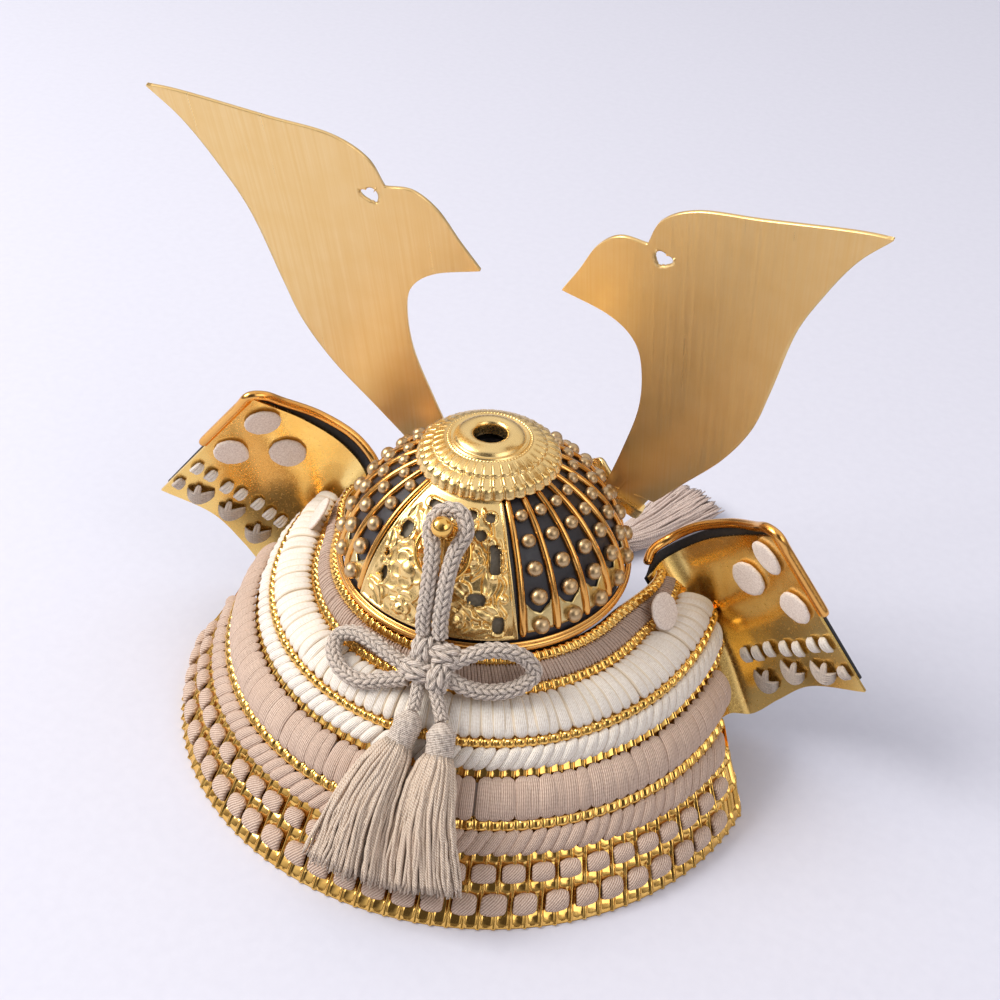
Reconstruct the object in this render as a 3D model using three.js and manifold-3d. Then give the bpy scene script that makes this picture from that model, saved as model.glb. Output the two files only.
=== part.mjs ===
// A miniature kabuto, the samurai helmet set out as an ornament: a riveted bowl with a pierced plate,
// a laced neck guard of three lames, two turned-back wings, tall horns and tied silk cords.
// Millimetres. +Z is up, -Y is the front of the helmet and +X is the wearer's left.
import * as THREE from "three";
import { mergeVertices } from "three/addons/utils/BufferGeometryUtils.js";
import Module from "manifold-3d";

const wasm = await Module();
wasm.setup();

// ---------------------------------------------------------------- driving dimensions
const GAP = 0.3; // left between pieces that touch
const RIM_Z = 53.4; // the bowl's rim above the surface that the helmet stands on
const RIM_R = 40; // outer radius of the rim ring

const DOME_R = 38.2; // outer radius of the black shell
const DOME_WALL = 1.2;
const DOME_CENTRE_Z = RIM_Z - 4.5;
const CROWN_HOLE_R = 4.3;
const WAIST_Z = RIM_Z - 5.2; // lower edge of the shell
const WAIST_R = 37.0;

const PANELS_ROUND = 25;
const PANEL = (2 * Math.PI) / PANELS_ROUND; // from rib to rib
const RIB_R = 1.0; // half its width
const RIB_HEIGHT = 1.2;
const RIVET_ROWS = [
  // height above the rim, radius
  { up: 6.2, r: 2.0 },
  { up: 12.4, r: 1.9 },
  { up: 18.2, r: 1.8 },
  { up: 23.2, r: 1.65 },
  { up: 27.0, r: 1.4 },
];
// Heights above the rim between which the rivets lie. The ribs run from the third to the last but one.
const RING_UPS = [-5.2, 1.6, 3.0, 9.3, 15.3, 20.7, 25.1, 29.2, 33.0];

const PLATE_HALF_ANGLE = THREE.MathUtils.degToRad(32.5);
const PLATE_TOP_HALF_ANGLE = THREE.MathUtils.degToRad(27);
const PLATE_THICK = 1.2;
const PLATE_LIFT = 0.6; // its flat facets stay clear of the dome

const HORN_THICK = 1.0;
const HORN_TRAVEL = new THREE.Vector3(0.43, 0.24, 0.87).normalize();

const LAME_WALL = 0.8;
const LAME_RECESS = 0.9; // the lacing lies this deep between the raised edges
const ROW_WIDTH = 2.4; // of a raised gold edge

const CORD_R = 2.0;
const CORD_SIDES = 8;

// The neck guard's outer surface: each row is part of an oval seen from above. end is how far round
// from the back it runs, and flare is how far its ends spring outwards from the oval.
const SKIRT_ROWS = [
  { z: 50.0, half_width: 42.2, depth: 41.6, centre_y: -1.7, flare: 7.0, end: 110 },
  { z: 43.3, half_width: 48.8, depth: 50.8, centre_y: -6.0, flare: 4.0, end: 106 },
  { z: 36.9, half_width: 61.6, depth: 64.3, centre_y: -9.0, flare: 1.5, end: 101 },
  { z: 30.1, half_width: 65.1, depth: 66.2, centre_y: -7.5, flare: 1.5, end: 99 },
  { z: 20.7, half_width: 72.6, depth: 71.4, centre_y: -3.5, flare: 0.0, end: 84 },
  { z: 14.1, half_width: 77.0, depth: 73.4, centre_y: -1.0, flare: 0.0, end: 83.5 },
  { z: 8.1, half_width: 80.6, depth: 76.0, centre_y: 1.2, flare: 0.0, end: 83 },
  { z: 0.9, half_width: 83.9, depth: 79.3, centre_y: 3.9, flare: 0.0, end: 82.8 },
];

// ---------------------------------------------------------------- materials
const finish = (color, roughness, metalness) => ({ color, roughness, metalness });
const GOLD = finish(0xd9a441, 0.25, 1);
const SATIN_GOLD = finish(0xd8b26a, 0.45, 1);
const BRUSHED_GOLD = finish(0xd6a552, 0.4, 1);
const BLACK = finish(0x16161c, 0.5, 0);
const WHITE_SILK = finish(0xefe9e0, 0.8, 0);
const BEIGE_SILK = finish(0xbfa093, 0.8, 0);
const TAUPE_CORD = finish(0xb5a69c, 0.8, 0);
const SUEDE = finish(0xd0bfb5, 0.95, 0);

const helmet = new THREE.Group();
const pieces = {};

function add(name, geometry, look) {
  const mesh = new THREE.Mesh(geometry, new THREE.MeshStandardMaterial(look));
  mesh.name = name;
  helmet.add(mesh);
  pieces[name] = mesh;
  return mesh;
}

// ---------------------------------------------------------------- solids
const vec = (x, y, z) => new THREE.Vector3(x, y, z);
const deg = THREE.MathUtils.degToRad;
const { lerp, smoothstep } = THREE.MathUtils;

// A geometry with shared vertices whose faces point outwards.
function facingOut(position, index) {
  const corner = (k) => vec(...position.slice(3 * index[k], 3 * index[k] + 3));
  let volume = 0;
  for (let k = 0; k < index.length; k += 3)
    volume += corner(k).dot(corner(k + 1).cross(corner(k + 2)));
  if (volume < 0) index.reverse();
  const geometry = new THREE.BufferGeometry();
  geometry.setAttribute("position", new THREE.Float32BufferAttribute(position, 3));
  geometry.setIndex(index);
  return geometry;
}

// A wall between two matching grids of points. Along its first direction it may run all the way round.
function wall(outer, inner, round = false) {
  const rows = outer.length;
  const cols = outer[0].length;
  const at = (side, i, j) => (side * rows + (i % rows)) * cols + j;
  const index = [];
  const quad = (a, b, c, d) => index.push(a, b, c, a, c, d);
  const steps = round ? rows : rows - 1;
  for (let i = 0; i < steps; i++) {
    for (let j = 0; j < cols - 1; j++) {
      quad(at(0, i, j), at(0, i + 1, j), at(0, i + 1, j + 1), at(0, i, j + 1));
      quad(at(1, i, j), at(1, i, j + 1), at(1, i + 1, j + 1), at(1, i + 1, j));
    }
    const last = cols - 1;
    quad(at(0, i, 0), at(1, i, 0), at(1, i + 1, 0), at(0, i + 1, 0));
    quad(at(0, i, last), at(0, i + 1, last), at(1, i + 1, last), at(1, i, last));
  }
  if (!round) {
    const last = rows - 1;
    for (let j = 0; j < cols - 1; j++) {
      quad(at(0, 0, j), at(0, 0, j + 1), at(1, 0, j + 1), at(1, 0, j));
      quad(at(0, last, j), at(1, last, j), at(1, last, j + 1), at(0, last, j + 1));
    }
  }
  return facingOut([...outer, ...inner].flat().flatMap((p) => p.toArray()), index);
}

const grid = (rows, cols, point) =>
  Array.from({ length: rows }, (_, i) =>
    Array.from({ length: cols }, (_, j) => point(i / (rows - 1), j / (cols - 1))),
  );

// The direction square to a surface given as a function of two parameters.
function normalOf(surface, u, v) {
  const step = 1e-3;
  const along = surface(u + step, v).sub(surface(u - step, v));
  const across = surface(u, v + step).sub(surface(u, v - step));
  return along.cross(across).normalize();
}

// A sheet of even thickness whose near face lies at offset from a surface.
function sheet(surface, rows, cols, offset, thickness) {
  const lifted = (d) => (u, v) => surface(u, v).addScaledVector(normalOf(surface, u, v), d);
  return wall(grid(rows, cols, lifted(offset)), grid(rows, cols, lifted(offset - thickness)));
}

// Closed loops of points, one after another, closed at both ends by a middle point.
function loft(loops) {
  const sides = loops[0].length;
  const middle = (loop) =>
    loop.reduce((sum, p) => sum.add(p), vec(0, 0, 0)).divideScalar(sides);
  const position = [...loops.flat(), middle(loops[0]), middle(loops.at(-1))];
  const first = loops.length * sides;
  const index = [];
  for (let j = 0; j < sides; j++) {
    const next = (j + 1) % sides;
    for (let i = 0; i < loops.length - 1; i++) {
      const a = i * sides;
      const b = a + sides;
      index.push(a + j, a + next, b + next, a + j, b + next, b + j);
    }
    const end = first - sides;
    index.push(first, next, j, first + 1, end + j, end + next);
  }
  return facingOut(position.flatMap((p) => p.toArray()), index);
}

// A closed profile of { r, z } points turned about the Z axis.
function turned(profile, segments) {
  const points = profile.map(({ r, z }) => new THREE.Vector2(r, z));
  points.push(points[0].clone());
  const geometry = new THREE.LatheGeometry(points, segments);
  geometry.rotateX(Math.PI / 2);
  return outward(geometry);
}

function outward(geometry) {
  const bare = geometry.clone();
  bare.deleteAttribute("normal");
  bare.deleteAttribute("uv");
  const merged = mergeVertices(bare, 1e-4);
  const index = [];
  const all = merged.index.array;
  for (let k = 0; k < all.length; k += 3) {
    const [a, b, c] = all.slice(k, k + 3);
    if (a !== b && b !== c && a !== c) index.push(a, b, c);
  }
  return facingOut([...merged.attributes.position.array], index);
}

// A round bar along a curve.
function tube(curve, radius, steps, sides = CORD_SIDES) {
  const circle = new THREE.Shape(
    Array.from({ length: sides }, (_, k) => {
      const a = (2 * Math.PI * (k + 0.5)) / sides;
      return new THREE.Vector2(radius * Math.cos(a), radius * Math.sin(a));
    }),
  );
  const geometry = new THREE.ExtrudeGeometry(circle, {
    extrudePath: curve,
    steps,
    bevelEnabled: false,
  });
  return outward(geometry);
}

const through = (points, bend = "centripetal") =>
  new THREE.CatmullRomCurve3(points.map((p) => vec(...p)), false, bend);

function solid(geometry) {
  const merged = outward(geometry);
  return new wasm.Manifold(
    new wasm.Mesh({
      numProp: 3,
      vertProperties: merged.attributes.position.array,
      triVerts: new Uint32Array(merged.index.array),
    }),
  );
}

function geometryOf(body) {
  const mesh = body.getMesh();
  const geometry = new THREE.BufferGeometry();
  geometry.setAttribute("position", new THREE.BufferAttribute(mesh.vertProperties, 3));
  geometry.setIndex(new THREE.BufferAttribute(mesh.triVerts, 1));
  return geometry;
}

const join = (geometries) => wasm.Manifold.union(geometries.map(solid));

// Turns a shape made about the origin with +Z outwards so that it stands on a surface.
function standing(geometry, place, out, up = vec(0, 0, 1)) {
  const side = up.clone().cross(out).normalize();
  const top = out.clone().cross(side);
  return geometry.applyMatrix4(
    new THREE.Matrix4().makeBasis(side, top, out).setPosition(place),
  );
}

const mirrored = (geometry) => outward(geometry.clone().scale(-1, 1, 1));

// ---------------------------------------------------------------- bowl
// A point on a sphere about the dome's centre, at an angle round from the back.
function domePoint(angle, z, radius = DOME_R) {
  const r = Math.sqrt(radius ** 2 - (z - DOME_CENTRE_Z) ** 2);
  return vec(r * Math.sin(angle), r * Math.cos(angle), z);
}
const domeNormal = (p) => p.clone().sub(vec(0, 0, DOME_CENTRE_Z)).normalize();

// The bowl's outer skin. Rings of points run round it, with three points to each rib. Between two of
// the rings that a rib crosses, each panel carries a rivet as a low pyramid.
function bowlSkin() {
  const position = [];
  const index = [];
  const put = (p) => position.push(...p.toArray()) / 3 - 1;
  const ribbed = (k) => Math.abs(k - 12) < 10.5;
  // One ring. Below the rim the skin draws in by a little, to clear the top lame.
  const ring = (up, raised) => {
    const across = up < 0 ? WAIST_R : domePoint(0, RIM_Z + up).y;
    return Array.from({ length: 3 * PANELS_ROUND }, (_, j) => {
      const k = Math.floor(j / 3);
      const spread = (j % 3) - 1;
      const a = (k + 0.5) * PANEL + (spread * RIB_R) / across;
      const p = vec(across * Math.sin(a), across * Math.cos(a), RIM_Z + up);
      if (raised && spread === 0 && ribbed(k)) p.addScaledVector(domeNormal(p), RIB_HEIGHT);
      return put(p);
    });
  };
  const rings = RING_UPS.map((up, i) => ring(up, i > 1 && i < RING_UPS.length - 1));
  const triangle = (a, b, c) => index.push(a, b, c);
  for (let i = 0; i < rings.length - 1; i++) {
    const [low, high] = [rings[i], rings[i + 1]];
    for (let j = 0; j < low.length; j++) {
      const next = (j + 1) % low.length;
      const corners = [low[j], low[next], high[next], high[j]];
      const k = Math.floor(j / 3);
      const row = RIVET_ROWS[i - 2];
      if (j % 3 === 2 && row && ribbed(k) && ribbed(k + 1)) {
        const middle = domePoint((k + 1) * PANEL, RIM_Z + row.up);
        const out = domeNormal(middle);
        const side = vec(out.y, -out.x, 0).normalize();
        const up = out.clone().cross(side);
        if (up.z < 0) up.negate();
        const foot = ([s, t]) =>
          middle.clone().addScaledVector(side, s * row.r).addScaledVector(up, t * row.r);
        const base = [[-1, -1], [1, -1], [1, 1], [-1, 1]].map((at) => put(foot(at)));
        const top = put(middle.clone().addScaledVector(out, row.r));
        base.forEach((b, n) => {
          const m = (n + 1) % 4;
          triangle(corners[n], corners[m], base[m]);
          triangle(corners[n], base[m], b);
          triangle(b, base[m], top);
        });
      } else {
        triangle(corners[0], corners[1], corners[2]);
        triangle(corners[0], corners[2], corners[3]);
      }
    }
  }
  const [bottom, top] = [put(vec(0, 0, WAIST_Z)), put(vec(0, 0, RIM_Z + RING_UPS.at(-1)))];
  for (let j = 0; j < rings[0].length; j++) {
    const next = (j + 1) % rings[0].length;
    triangle(bottom, rings[0][next], rings[0][j]);
    triangle(top, rings.at(-1)[j], rings.at(-1)[next]);
  }
  return facingOut(position, index);
}

// The hollow inside: a dome of one wall less, open below, with the hole through the crown.
function bowlHollow() {
  const radius = DOME_R - DOME_WALL;
  const steps = 5;
  const rim = Math.acos((RIM_Z - DOME_CENTRE_Z) / radius);
  const hole = Math.asin(CROWN_HOLE_R / radius);
  const arc = Array.from({ length: steps }, (_, k) => {
    const a = lerp(hole, rim, k / (steps - 1));
    return { r: radius * Math.sin(a), z: DOME_CENTRE_Z + radius * Math.cos(a) };
  });
  return turned(
    [
      { r: 0, z: RIM_Z + 40 },
      { r: CROWN_HOLE_R, z: RIM_Z + 40 },
      ...arc,
      { r: WAIST_R - DOME_WALL, z: WAIST_Z },
      { r: WAIST_R - DOME_WALL, z: WAIST_Z - 2 },
      { r: 0, z: WAIST_Z - 2 },
    ],
    PANELS_ROUND,
  );
}
add("bowl", geometryOf(solid(bowlSkin()).subtract(solid(bowlHollow()))), BLACK);

add(
  "rim_ring",
  turned(
    [
      { r: 38.4, z: RIM_Z + 0.6 },
      { r: 39.2, z: RIM_Z + 1.6 },
      { r: 39.8, z: RIM_Z + 0.1 },
      { r: RIM_R, z: RIM_Z - 1.2 },
      { r: 38.4, z: RIM_Z - 1.7 },
    ],
    25,
  ),
  GOLD,
);

// ---------------------------------------------------------------- crown ornament
add(
  "crown_ornament",
  turned(
    [
      { r: CROWN_HOLE_R, z: RIM_Z + 38.3 },
      { r: 6.2, z: RIM_Z + 39.0 },
      { r: 8.8, z: RIM_Z + 38.4 },
      { r: 9.7, z: RIM_Z + 37.2 },
      { r: 14.4, z: RIM_Z + 35.4 },
      { r: 15.0, z: RIM_Z + 34.3 },
      { r: 18.5, z: RIM_Z + 32.6 },
      { r: 19.2, z: RIM_Z + 30.8 },
      { r: 16.4, z: RIM_Z + 31.6 },
      { r: CROWN_HOLE_R, z: RIM_Z + 35.2 },
    ],
    25,
  ),
  SATIN_GOLD,
);

// ---------------------------------------------------------------- pierced back plate
// u runs across the plate and v up it.
function platePoint(u, v) {
  const half = lerp(PLATE_HALF_ANGLE, PLATE_TOP_HALF_ANGLE, v);
  return domePoint(half * (2 * u - 1), RIM_Z + lerp(2.4, 29.4, v), DOME_R + PLATE_LIFT + PLATE_THICK);
}

function backPlate() {
  const slab = solid(sheet(platePoint, 7, 5, 0, -PLATE_THICK));
  const piercing = (u, v, width, height) => {
    const pin = new THREE.CylinderGeometry(0.5, 0.5, 8, 5).rotateX(Math.PI / 2);
    const p = platePoint(u, v);
    return standing(pin.scale(width, height, 1), p, domeNormal(p));
  };
  const boss = (u, v, radius) => {
    const p = platePoint(u, v);
    const bump = new THREE.IcosahedronGeometry(radius, 0).scale(1, 1, 0.45);
    return standing(bump, p.addScaledVector(domeNormal(p), -0.3), domeNormal(p));
  };
  const holes = [];
  for (const side of [-1, 1]) {
    const at = (u) => 0.5 + side * u;
    holes.push(
      piercing(at(0.36), 0.26, 2.0, 2.6),
      piercing(at(0.36), 0.62, 1.9, 4.2),
      piercing(at(0.22), 0.34, 3.2, 2.2),
      piercing(at(0.26), 0.84, 2.2, 2.2),
      piercing(at(0.38), 0.86, 1.8, 1.6),
      piercing(at(0.14), 0.12, 2.0, 1.6),
    );
  }
  const flower = [boss(0.28, 0.44, 3.0), boss(0.72, 0.48, 2.6)];
  const leaves = [boss(0.2, 0.14, 2.2), boss(0.8, 0.12, 2.2)];
  const body = wasm.Manifold.union([slab, ...[...flower, ...leaves].map(solid)]);
  return geometryOf(body.subtract(wasm.Manifold.union(holes.map(solid))));
}
add("back_plate", backPlate(), SATIN_GOLD);

// ---------------------------------------------------------------- ring post and hanging ring
const POST_FOOT = domePoint(deg(-0.4), RIM_Z + 25.4, DOME_R + PLATE_LIFT + PLATE_THICK + GAP);
const POST_OUT = domeNormal(POST_FOOT);
const POST_KNOB = 7.4; // from the foot to the middle of the knob

function ringPost() {
  const profile = [
    [0, 0],
    [1.2, 0],
    [1.2, POST_KNOB - 2.4],
    [1.8, POST_KNOB - 1.5],
    [2.7, POST_KNOB - 0.2],
    [2.5, POST_KNOB + 1.3],
    [1.3, POST_KNOB + 2.3],
    [0, POST_KNOB + 2.6],
  ].map(([r, z]) => new THREE.Vector2(r, z));
  const post = new THREE.LatheGeometry(profile, 10).rotateX(Math.PI / 2);
  return standing(outward(post), POST_FOOT, POST_OUT);
}
add("ring_post", ringPost(), GOLD);

const RING_R = 7;
const RING_WIRE = 0.45;
const RING_LEAN = deg(7.5); // its lower side rests on the plate
function hangingRing() {
  const ring = new THREE.TorusGeometry(RING_R, RING_WIRE, 5, 18);
  const down = vec(0, 0, -1).addScaledVector(POST_OUT, POST_OUT.z).normalize();
  const middle = POST_FOOT.clone()
    .addScaledVector(POST_OUT, 0.45)
    .addScaledVector(down, RING_R - RING_WIRE - 1.2 - GAP);
  const out = POST_OUT.clone().multiplyScalar(Math.cos(RING_LEAN));
  return standing(outward(ring), middle, out.addScaledVector(down, Math.sin(RING_LEAN)));
}
add("hanging_ring", hangingRing(), GOLD);

// ---------------------------------------------------------------- visor
// A crescent under the front of the rim. u runs round it and v from its inner to its outer edge.
const VISOR_HALF_ANGLE = deg(46);
function visorPoint(u, v) {
  const a = VISOR_HALF_ANGLE * (2 * u - 1);
  const width = 2.2 + 12 * Math.cos((a / VISOR_HALF_ANGLE) * (Math.PI / 2));
  const r = 40.6 + v * width;
  return vec(r * Math.sin(a), -r * Math.cos(a), RIM_Z - 3.4 - v * width * 0.75);
}
add("visor", sheet(visorPoint, 15, 4, 0, 1.2), GOLD);

// ---------------------------------------------------------------- horns and their holder
// The horns' sheet: how far forward it lies at a place seen from the front.
const hornY = (x, z) =>
  -19 + 0.29 * (z - 60) + 0.109 * (x - 35) + 0.00055 * ((z - 60) ** 2 + (x - 35) ** 2);

const HORN_OUTER = [
  // from the foot to the tip, across and above the rim
  [37.9, 5.5],
  [46.0, 16.8],
  [56.0, 31.0],
  [62.8, 45.4],
  [66.2, 60.0],
  [70.4, 81.8],
  [75.6, 96.0],
  [81.6, 108.4],
  [88.3, 117.2],
];
// The inner edge, in stretches that meet at the beak and at the notch.
const HORN_INNER = [
  [
    [23.1, 6.4],
    [27.9, 23.0],
    [32.0, 40.0],
    [32.6, 54.0],
    [30.4, 64.0],
    [23.6, 70.4],
    [10.9, 74.4],
  ],
  [
    [10.9, 74.4],
    [15.6, 82.4],
    [20.4, 91.4],
    [26.2, 96.4],
    [33.2, 96.3],
  ],
  [
    [33.2, 96.3],
    [36.6, 104.4],
    [45.0, 109.8],
    [60.0, 112.4],
    [80.0, 116.3],
    [88.3, 117.2],
  ],
];
const spline = (points) =>
  new THREE.SplineCurve(points.map(([x, z]) => new THREE.Vector2(x, z)));
const hornOuter = spline(HORN_OUTER);
const hornInner = HORN_INNER.map(spline);
const HORN_SHARES = [0.52, 0.7, 1]; // where the stretches of the inner edge end

// u runs from foot to tip, and v from the outer to the inner edge.
function hornFlat(u, v) {
  const t = THREE.MathUtils.clamp(u, 0, 1);
  const k = t <= HORN_SHARES[0] ? 0 : t <= HORN_SHARES[1] ? 1 : 2;
  const from = k ? HORN_SHARES[k - 1] : 0;
  const inner = hornInner[k].getPoint((t - from) / (HORN_SHARES[k] - from));
  const outer = hornOuter.getPoint(lerp(t, t ** 1.5, 0.35));
  return outer.lerp(inner, v);
}
const hornPoint = (p) => vec(p.x, hornY(p.x, p.y), RIM_Z + p.y);
function hornNormal(x, z) {
  const flat = (u, v) => hornPoint(new THREE.Vector2(x + u, z + v));
  return normalOf(flat, 0, 0);
}
function hornLayer(depth) {
  const rows = 21;
  return Array.from({ length: rows }, (_, i) =>
    [0, 0.5, 1].map((v) => {
      const tip = i === rows - 1;
      const p = hornFlat(tip ? 0.985 : i / (rows - 1), v);
      return hornPoint(p).addScaledVector(hornNormal(p.x, p.y), depth);
    }),
  );
}

const TANG = { half: 4.2, top: 4, bottom: -6.8 }; // half its width, and its ends along the travel
const TANG_FOOT = vec(31.8, hornY(31.8, 6), RIM_Z + 6);
const TANG_OUT = vec(0.09, -1, 0.27).normalize();
// A bar of the tang's width and depth, grown by a margin on every side.
function tangBar(margin, low, high) {
  const box = new THREE.BoxGeometry(
    2 * (TANG.half + margin),
    high - low,
    HORN_THICK + 2 * margin,
  );
  box.translate(0, (high + low) / 2, 0);
  const axis = HORN_TRAVEL.clone();
  const out = TANG_OUT.clone().addScaledVector(axis, -TANG_OUT.dot(axis)).normalize();
  const side = axis.clone().cross(out);
  return box.applyMatrix4(new THREE.Matrix4().makeBasis(side, axis, out).setPosition(TANG_FOOT));
}

function hornLeft() {
  const blade = solid(wall(hornLayer(HORN_THICK / 2), hornLayer(-HORN_THICK / 2)));
  const heart = new THREE.Shape();
  heart.moveTo(0, -2.6);
  heart.bezierCurveTo(-2.6, -1.0, -2.6, 1.9, -1.2, 1.9);
  heart.bezierCurveTo(-0.4, 1.9, 0, 1.2, 0, 0.8);
  heart.bezierCurveTo(0, 1.2, 0.4, 1.9, 1.2, 1.9);
  heart.bezierCurveTo(2.6, 1.9, 2.6, -1.0, 0, -2.6);
  const cutter = new THREE.ExtrudeGeometry(heart, { depth: 16, curveSegments: 2, bevelEnabled: false });
  cutter.translate(0, 0, -8);
  const centre = vec(37, hornY(37, 92.6), RIM_Z + 92.6);
  standing(cutter, centre, hornNormal(37, 92.6), vec(0.5, 0, 1).normalize());
  const tang = solid(tangBar(0, TANG.bottom, TANG.top));
  return geometryOf(blade.subtract(solid(cutter)).add(tang));
}
const horn = hornLeft();
add("horn_left", horn, BRUSHED_GOLD);
add("horn_right", mirrored(horn), BRUSHED_GOLD);

// A bent plate in front of the bowl that carries a socket for each horn.
function hornHolder() {
  const outline = (u, v) => {
    const x = 34 * (2 * u - 1);
    const away = Math.abs(2 * u - 1);
    const lobe = Math.exp(-(((away - 0.6) / 0.14) ** 2));
    const top = 4.5 + 6 * lobe + 2.5 * smoothstep(away, 0.7, 0.85);
    const bottom = lerp(-2.4, -0.6, away ** 2);
    const y = -lerp(47.5, 35.6, smoothstep(away, 0.15, 0.8));
    return vec(x, y, RIM_Z + lerp(bottom, top, v));
  };
  const plate = sheet(outline, 19, 3, 0, -1.4);
  const sockets = [];
  const bores = [];
  const block = tangBar(1.2, TANG.bottom - 1.2, -3.6);
  const bore = tangBar(GAP, TANG.bottom - GAP, TANG.top);
  for (const turn of [(g) => g, mirrored]) {
    sockets.push(turn(block));
    bores.push(turn(bore));
  }
  const body = join([plate, ...sockets]);
  return geometryOf(body.subtract(join(bores)));
}
add("horn_holder", hornHolder(), GOLD);

// ---------------------------------------------------------------- neck guard
// A point on the neck guard. row counts down from the rim, u runs from the right end, -1, to the
// left end, 1, and lift is how far it stands off the surface.
function skirtPoint(row, u, lift = 0) {
  const base = (t, side) => {
    const k = THREE.MathUtils.clamp(Math.floor(t), 0, SKIRT_ROWS.length - 2);
    const [a, b] = [SKIRT_ROWS[k], SKIRT_ROWS[k + 1]];
    const mix = (key) => lerp(a[key], b[key], t - k);
    const angle = deg(side * mix("end"));
    const spring = mix("flare") * smoothstep(Math.abs(angle), deg(75), deg(110));
    return vec(
      mix("half_width") * Math.sin(angle) + Math.sign(side) * spring,
      mix("centre_y") + mix("depth") * Math.cos(angle),
      mix("z"),
    );
  };
  const step = 1e-3;
  const down = base(row + step, u).sub(base(row - step, u));
  const round = base(row, u + step).sub(base(row, u - step));
  return base(row, u).addScaledVector(down.cross(round).normalize(), -lift);
}
const STATIONS = 18; // round each strip of the neck guard
function rowGap(row) {
  return skirtPoint(row, 0).distanceTo(skirtPoint(row + 1, 0));
}

// A strip of the neck guard. profile lists { row, out, in }: how far each face stands off.
function skirtStrip(profile, stations, reach = 1) {
  const face = (key) =>
    Array.from({ length: stations }, (_, i) =>
      profile.map((p) => skirtPoint(p.row, reach * lerp(-1, 1, i / (stations - 1)), p[key])),
    );
  return wall(face("out"), face("in"));
}

// A gold lame with a raised edge on each of its rows.
function lame(first, last) {
  const profile = [];
  const back = -LAME_RECESS - LAME_WALL;
  for (let row = first; row <= last; row++) {
    const above = ROW_WIDTH / 2 / rowGap(Math.max(row - 1, 0));
    const below = ROW_WIDTH / 2 / rowGap(Math.min(row, SKIRT_ROWS.length - 2));
    const step = (to, out) => profile.push({ row: to, out, in: back });
    if (row > first) step(row - above * 1.25, -LAME_RECESS);
    if (row === first || row === last) {
      step(row - above, 0);
      step(row + below, 0);
    } else step(row, 0);
    if (row < last) step(row + below * 1.25, -LAME_RECESS);
  }
  return skirtStrip(profile, STATIONS);
}

// Lacing that lies in the recess between two rows of a lame.
function facedLacing(row, bulge) {
  const edge = (ROW_WIDTH / 2 + 0.7) / rowGap(row);
  const bottom = -LAME_RECESS + GAP;
  return skirtStrip(
    [
      { row: row + edge, out: bottom + 0.6, in: bottom },
      { row: row + 0.5, out: bulge, in: bottom },
      { row: row + 1 - edge, out: bottom + 0.6, in: bottom },
    ],
    STATIONS,
    0.985,
  );
}

// Lacing that spans the gap from one lame's lower edge to the next lame's top.
function hangingLacing(row, bulge, thick) {
  const edge = (ROW_WIDTH / 2 + GAP) / rowGap(row);
  return skirtStrip(
    [0, 0.4, 1].map((share) => {
      const out = 0.1 + bulge * Math.sin(Math.PI * (0.15 + 0.75 * share));
      return { row: row + lerp(edge, 1 - edge, share), out, in: out - thick };
    }),
    STATIONS,
    0.985,
  );
}

add("lame_1", lame(0, 1), GOLD);
add("lame_2", lame(2, 3), GOLD);
// The lowest lame stands on its bottom edge, which is ground flat.
const FOOT_Z = SKIRT_ROWS.at(-1).z - 1.35;
add("lame_3", geometryOf(solid(lame(4, 7)).trimByPlane([0, 0, 1], FOOT_Z)), GOLD);
add("lacing_beige_top", facedLacing(0, 0.9), BEIGE_SILK);
add("lacing_white_wide", hangingLacing(1, 2.0, 1.8), WHITE_SILK);
add("lacing_white_narrow", facedLacing(2, 1.1), WHITE_SILK);
add("lacing_beige_wide", hangingLacing(3, 2.0, 1.8), BEIGE_SILK);
add("lacing_beige_narrow", facedLacing(4, 0.9), BEIGE_SILK);
add("tufts_upper", facedLacing(5, 1.2), BEIGE_SILK);
add("tufts_lower", facedLacing(6, 1.2), BEIGE_SILK);

// ---------------------------------------------------------------- wings
// The upper and lower edge of the left wing, from where it springs from the lames out to its end.
const WING_TOP = through([
  [43.2, -13, RIM_Z - 5],
  [44.5, -21, RIM_Z - 5],
  [48.5, -24.6, RIM_Z - 2.4],
  [55.2, -24.6, RIM_Z + 3.6],
  [64.5, -20.6, RIM_Z + 11.2],
  [74.0, -9.1, RIM_Z + 22.5],
]);
const WING_BOTTOM = through([
  [70.0, -8, RIM_Z - 44],
  [72.2, -14, RIM_Z - 46.5],
  [77.5, -16.8, RIM_Z - 47],
  [84.6, -15.3, RIM_Z - 36.8],
  [92.0, -11.6, RIM_Z - 25.6],
  [106.2, -6.7, RIM_Z - 17.7],
]);
const WING_BELLY = vec(4, -1.5, 0); // how far its middle springs out near the lames
const WING_THICK = 0.8;

function wingPoint(u, v) {
  const t = THREE.MathUtils.clamp(u, 0, 1);
  const p = WING_TOP.getPoint(t).lerp(WING_BOTTOM.getPoint(t), v);
  return p.addScaledVector(WING_BELLY, (1 - t) ** 2 * (4 * v * (1 - v)) ** 2 * Math.sign(v * (1 - v)));
}
const wingNormal = (u, v) => normalOf(wingPoint, Math.min(u, 0.998), v);

// The black backing is larger than the plate along the top.
const BACKING_RISE = 2.2;
function backingPoint(u, v) {
  const t = THREE.MathUtils.clamp(u, 0, 1);
  const top = wingPoint(t, 0);
  const down = wingPoint(t, 0.05).sub(top).normalize();
  const rise = BACKING_RISE * smoothstep(t, 0, 0.25) * (1 - 0.8 * smoothstep(t, 0.85, 1));
  const p = v <= 0 ? top.addScaledVector(down, -rise) : wingPoint(t, v * 0.93);
  return p;
}

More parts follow.
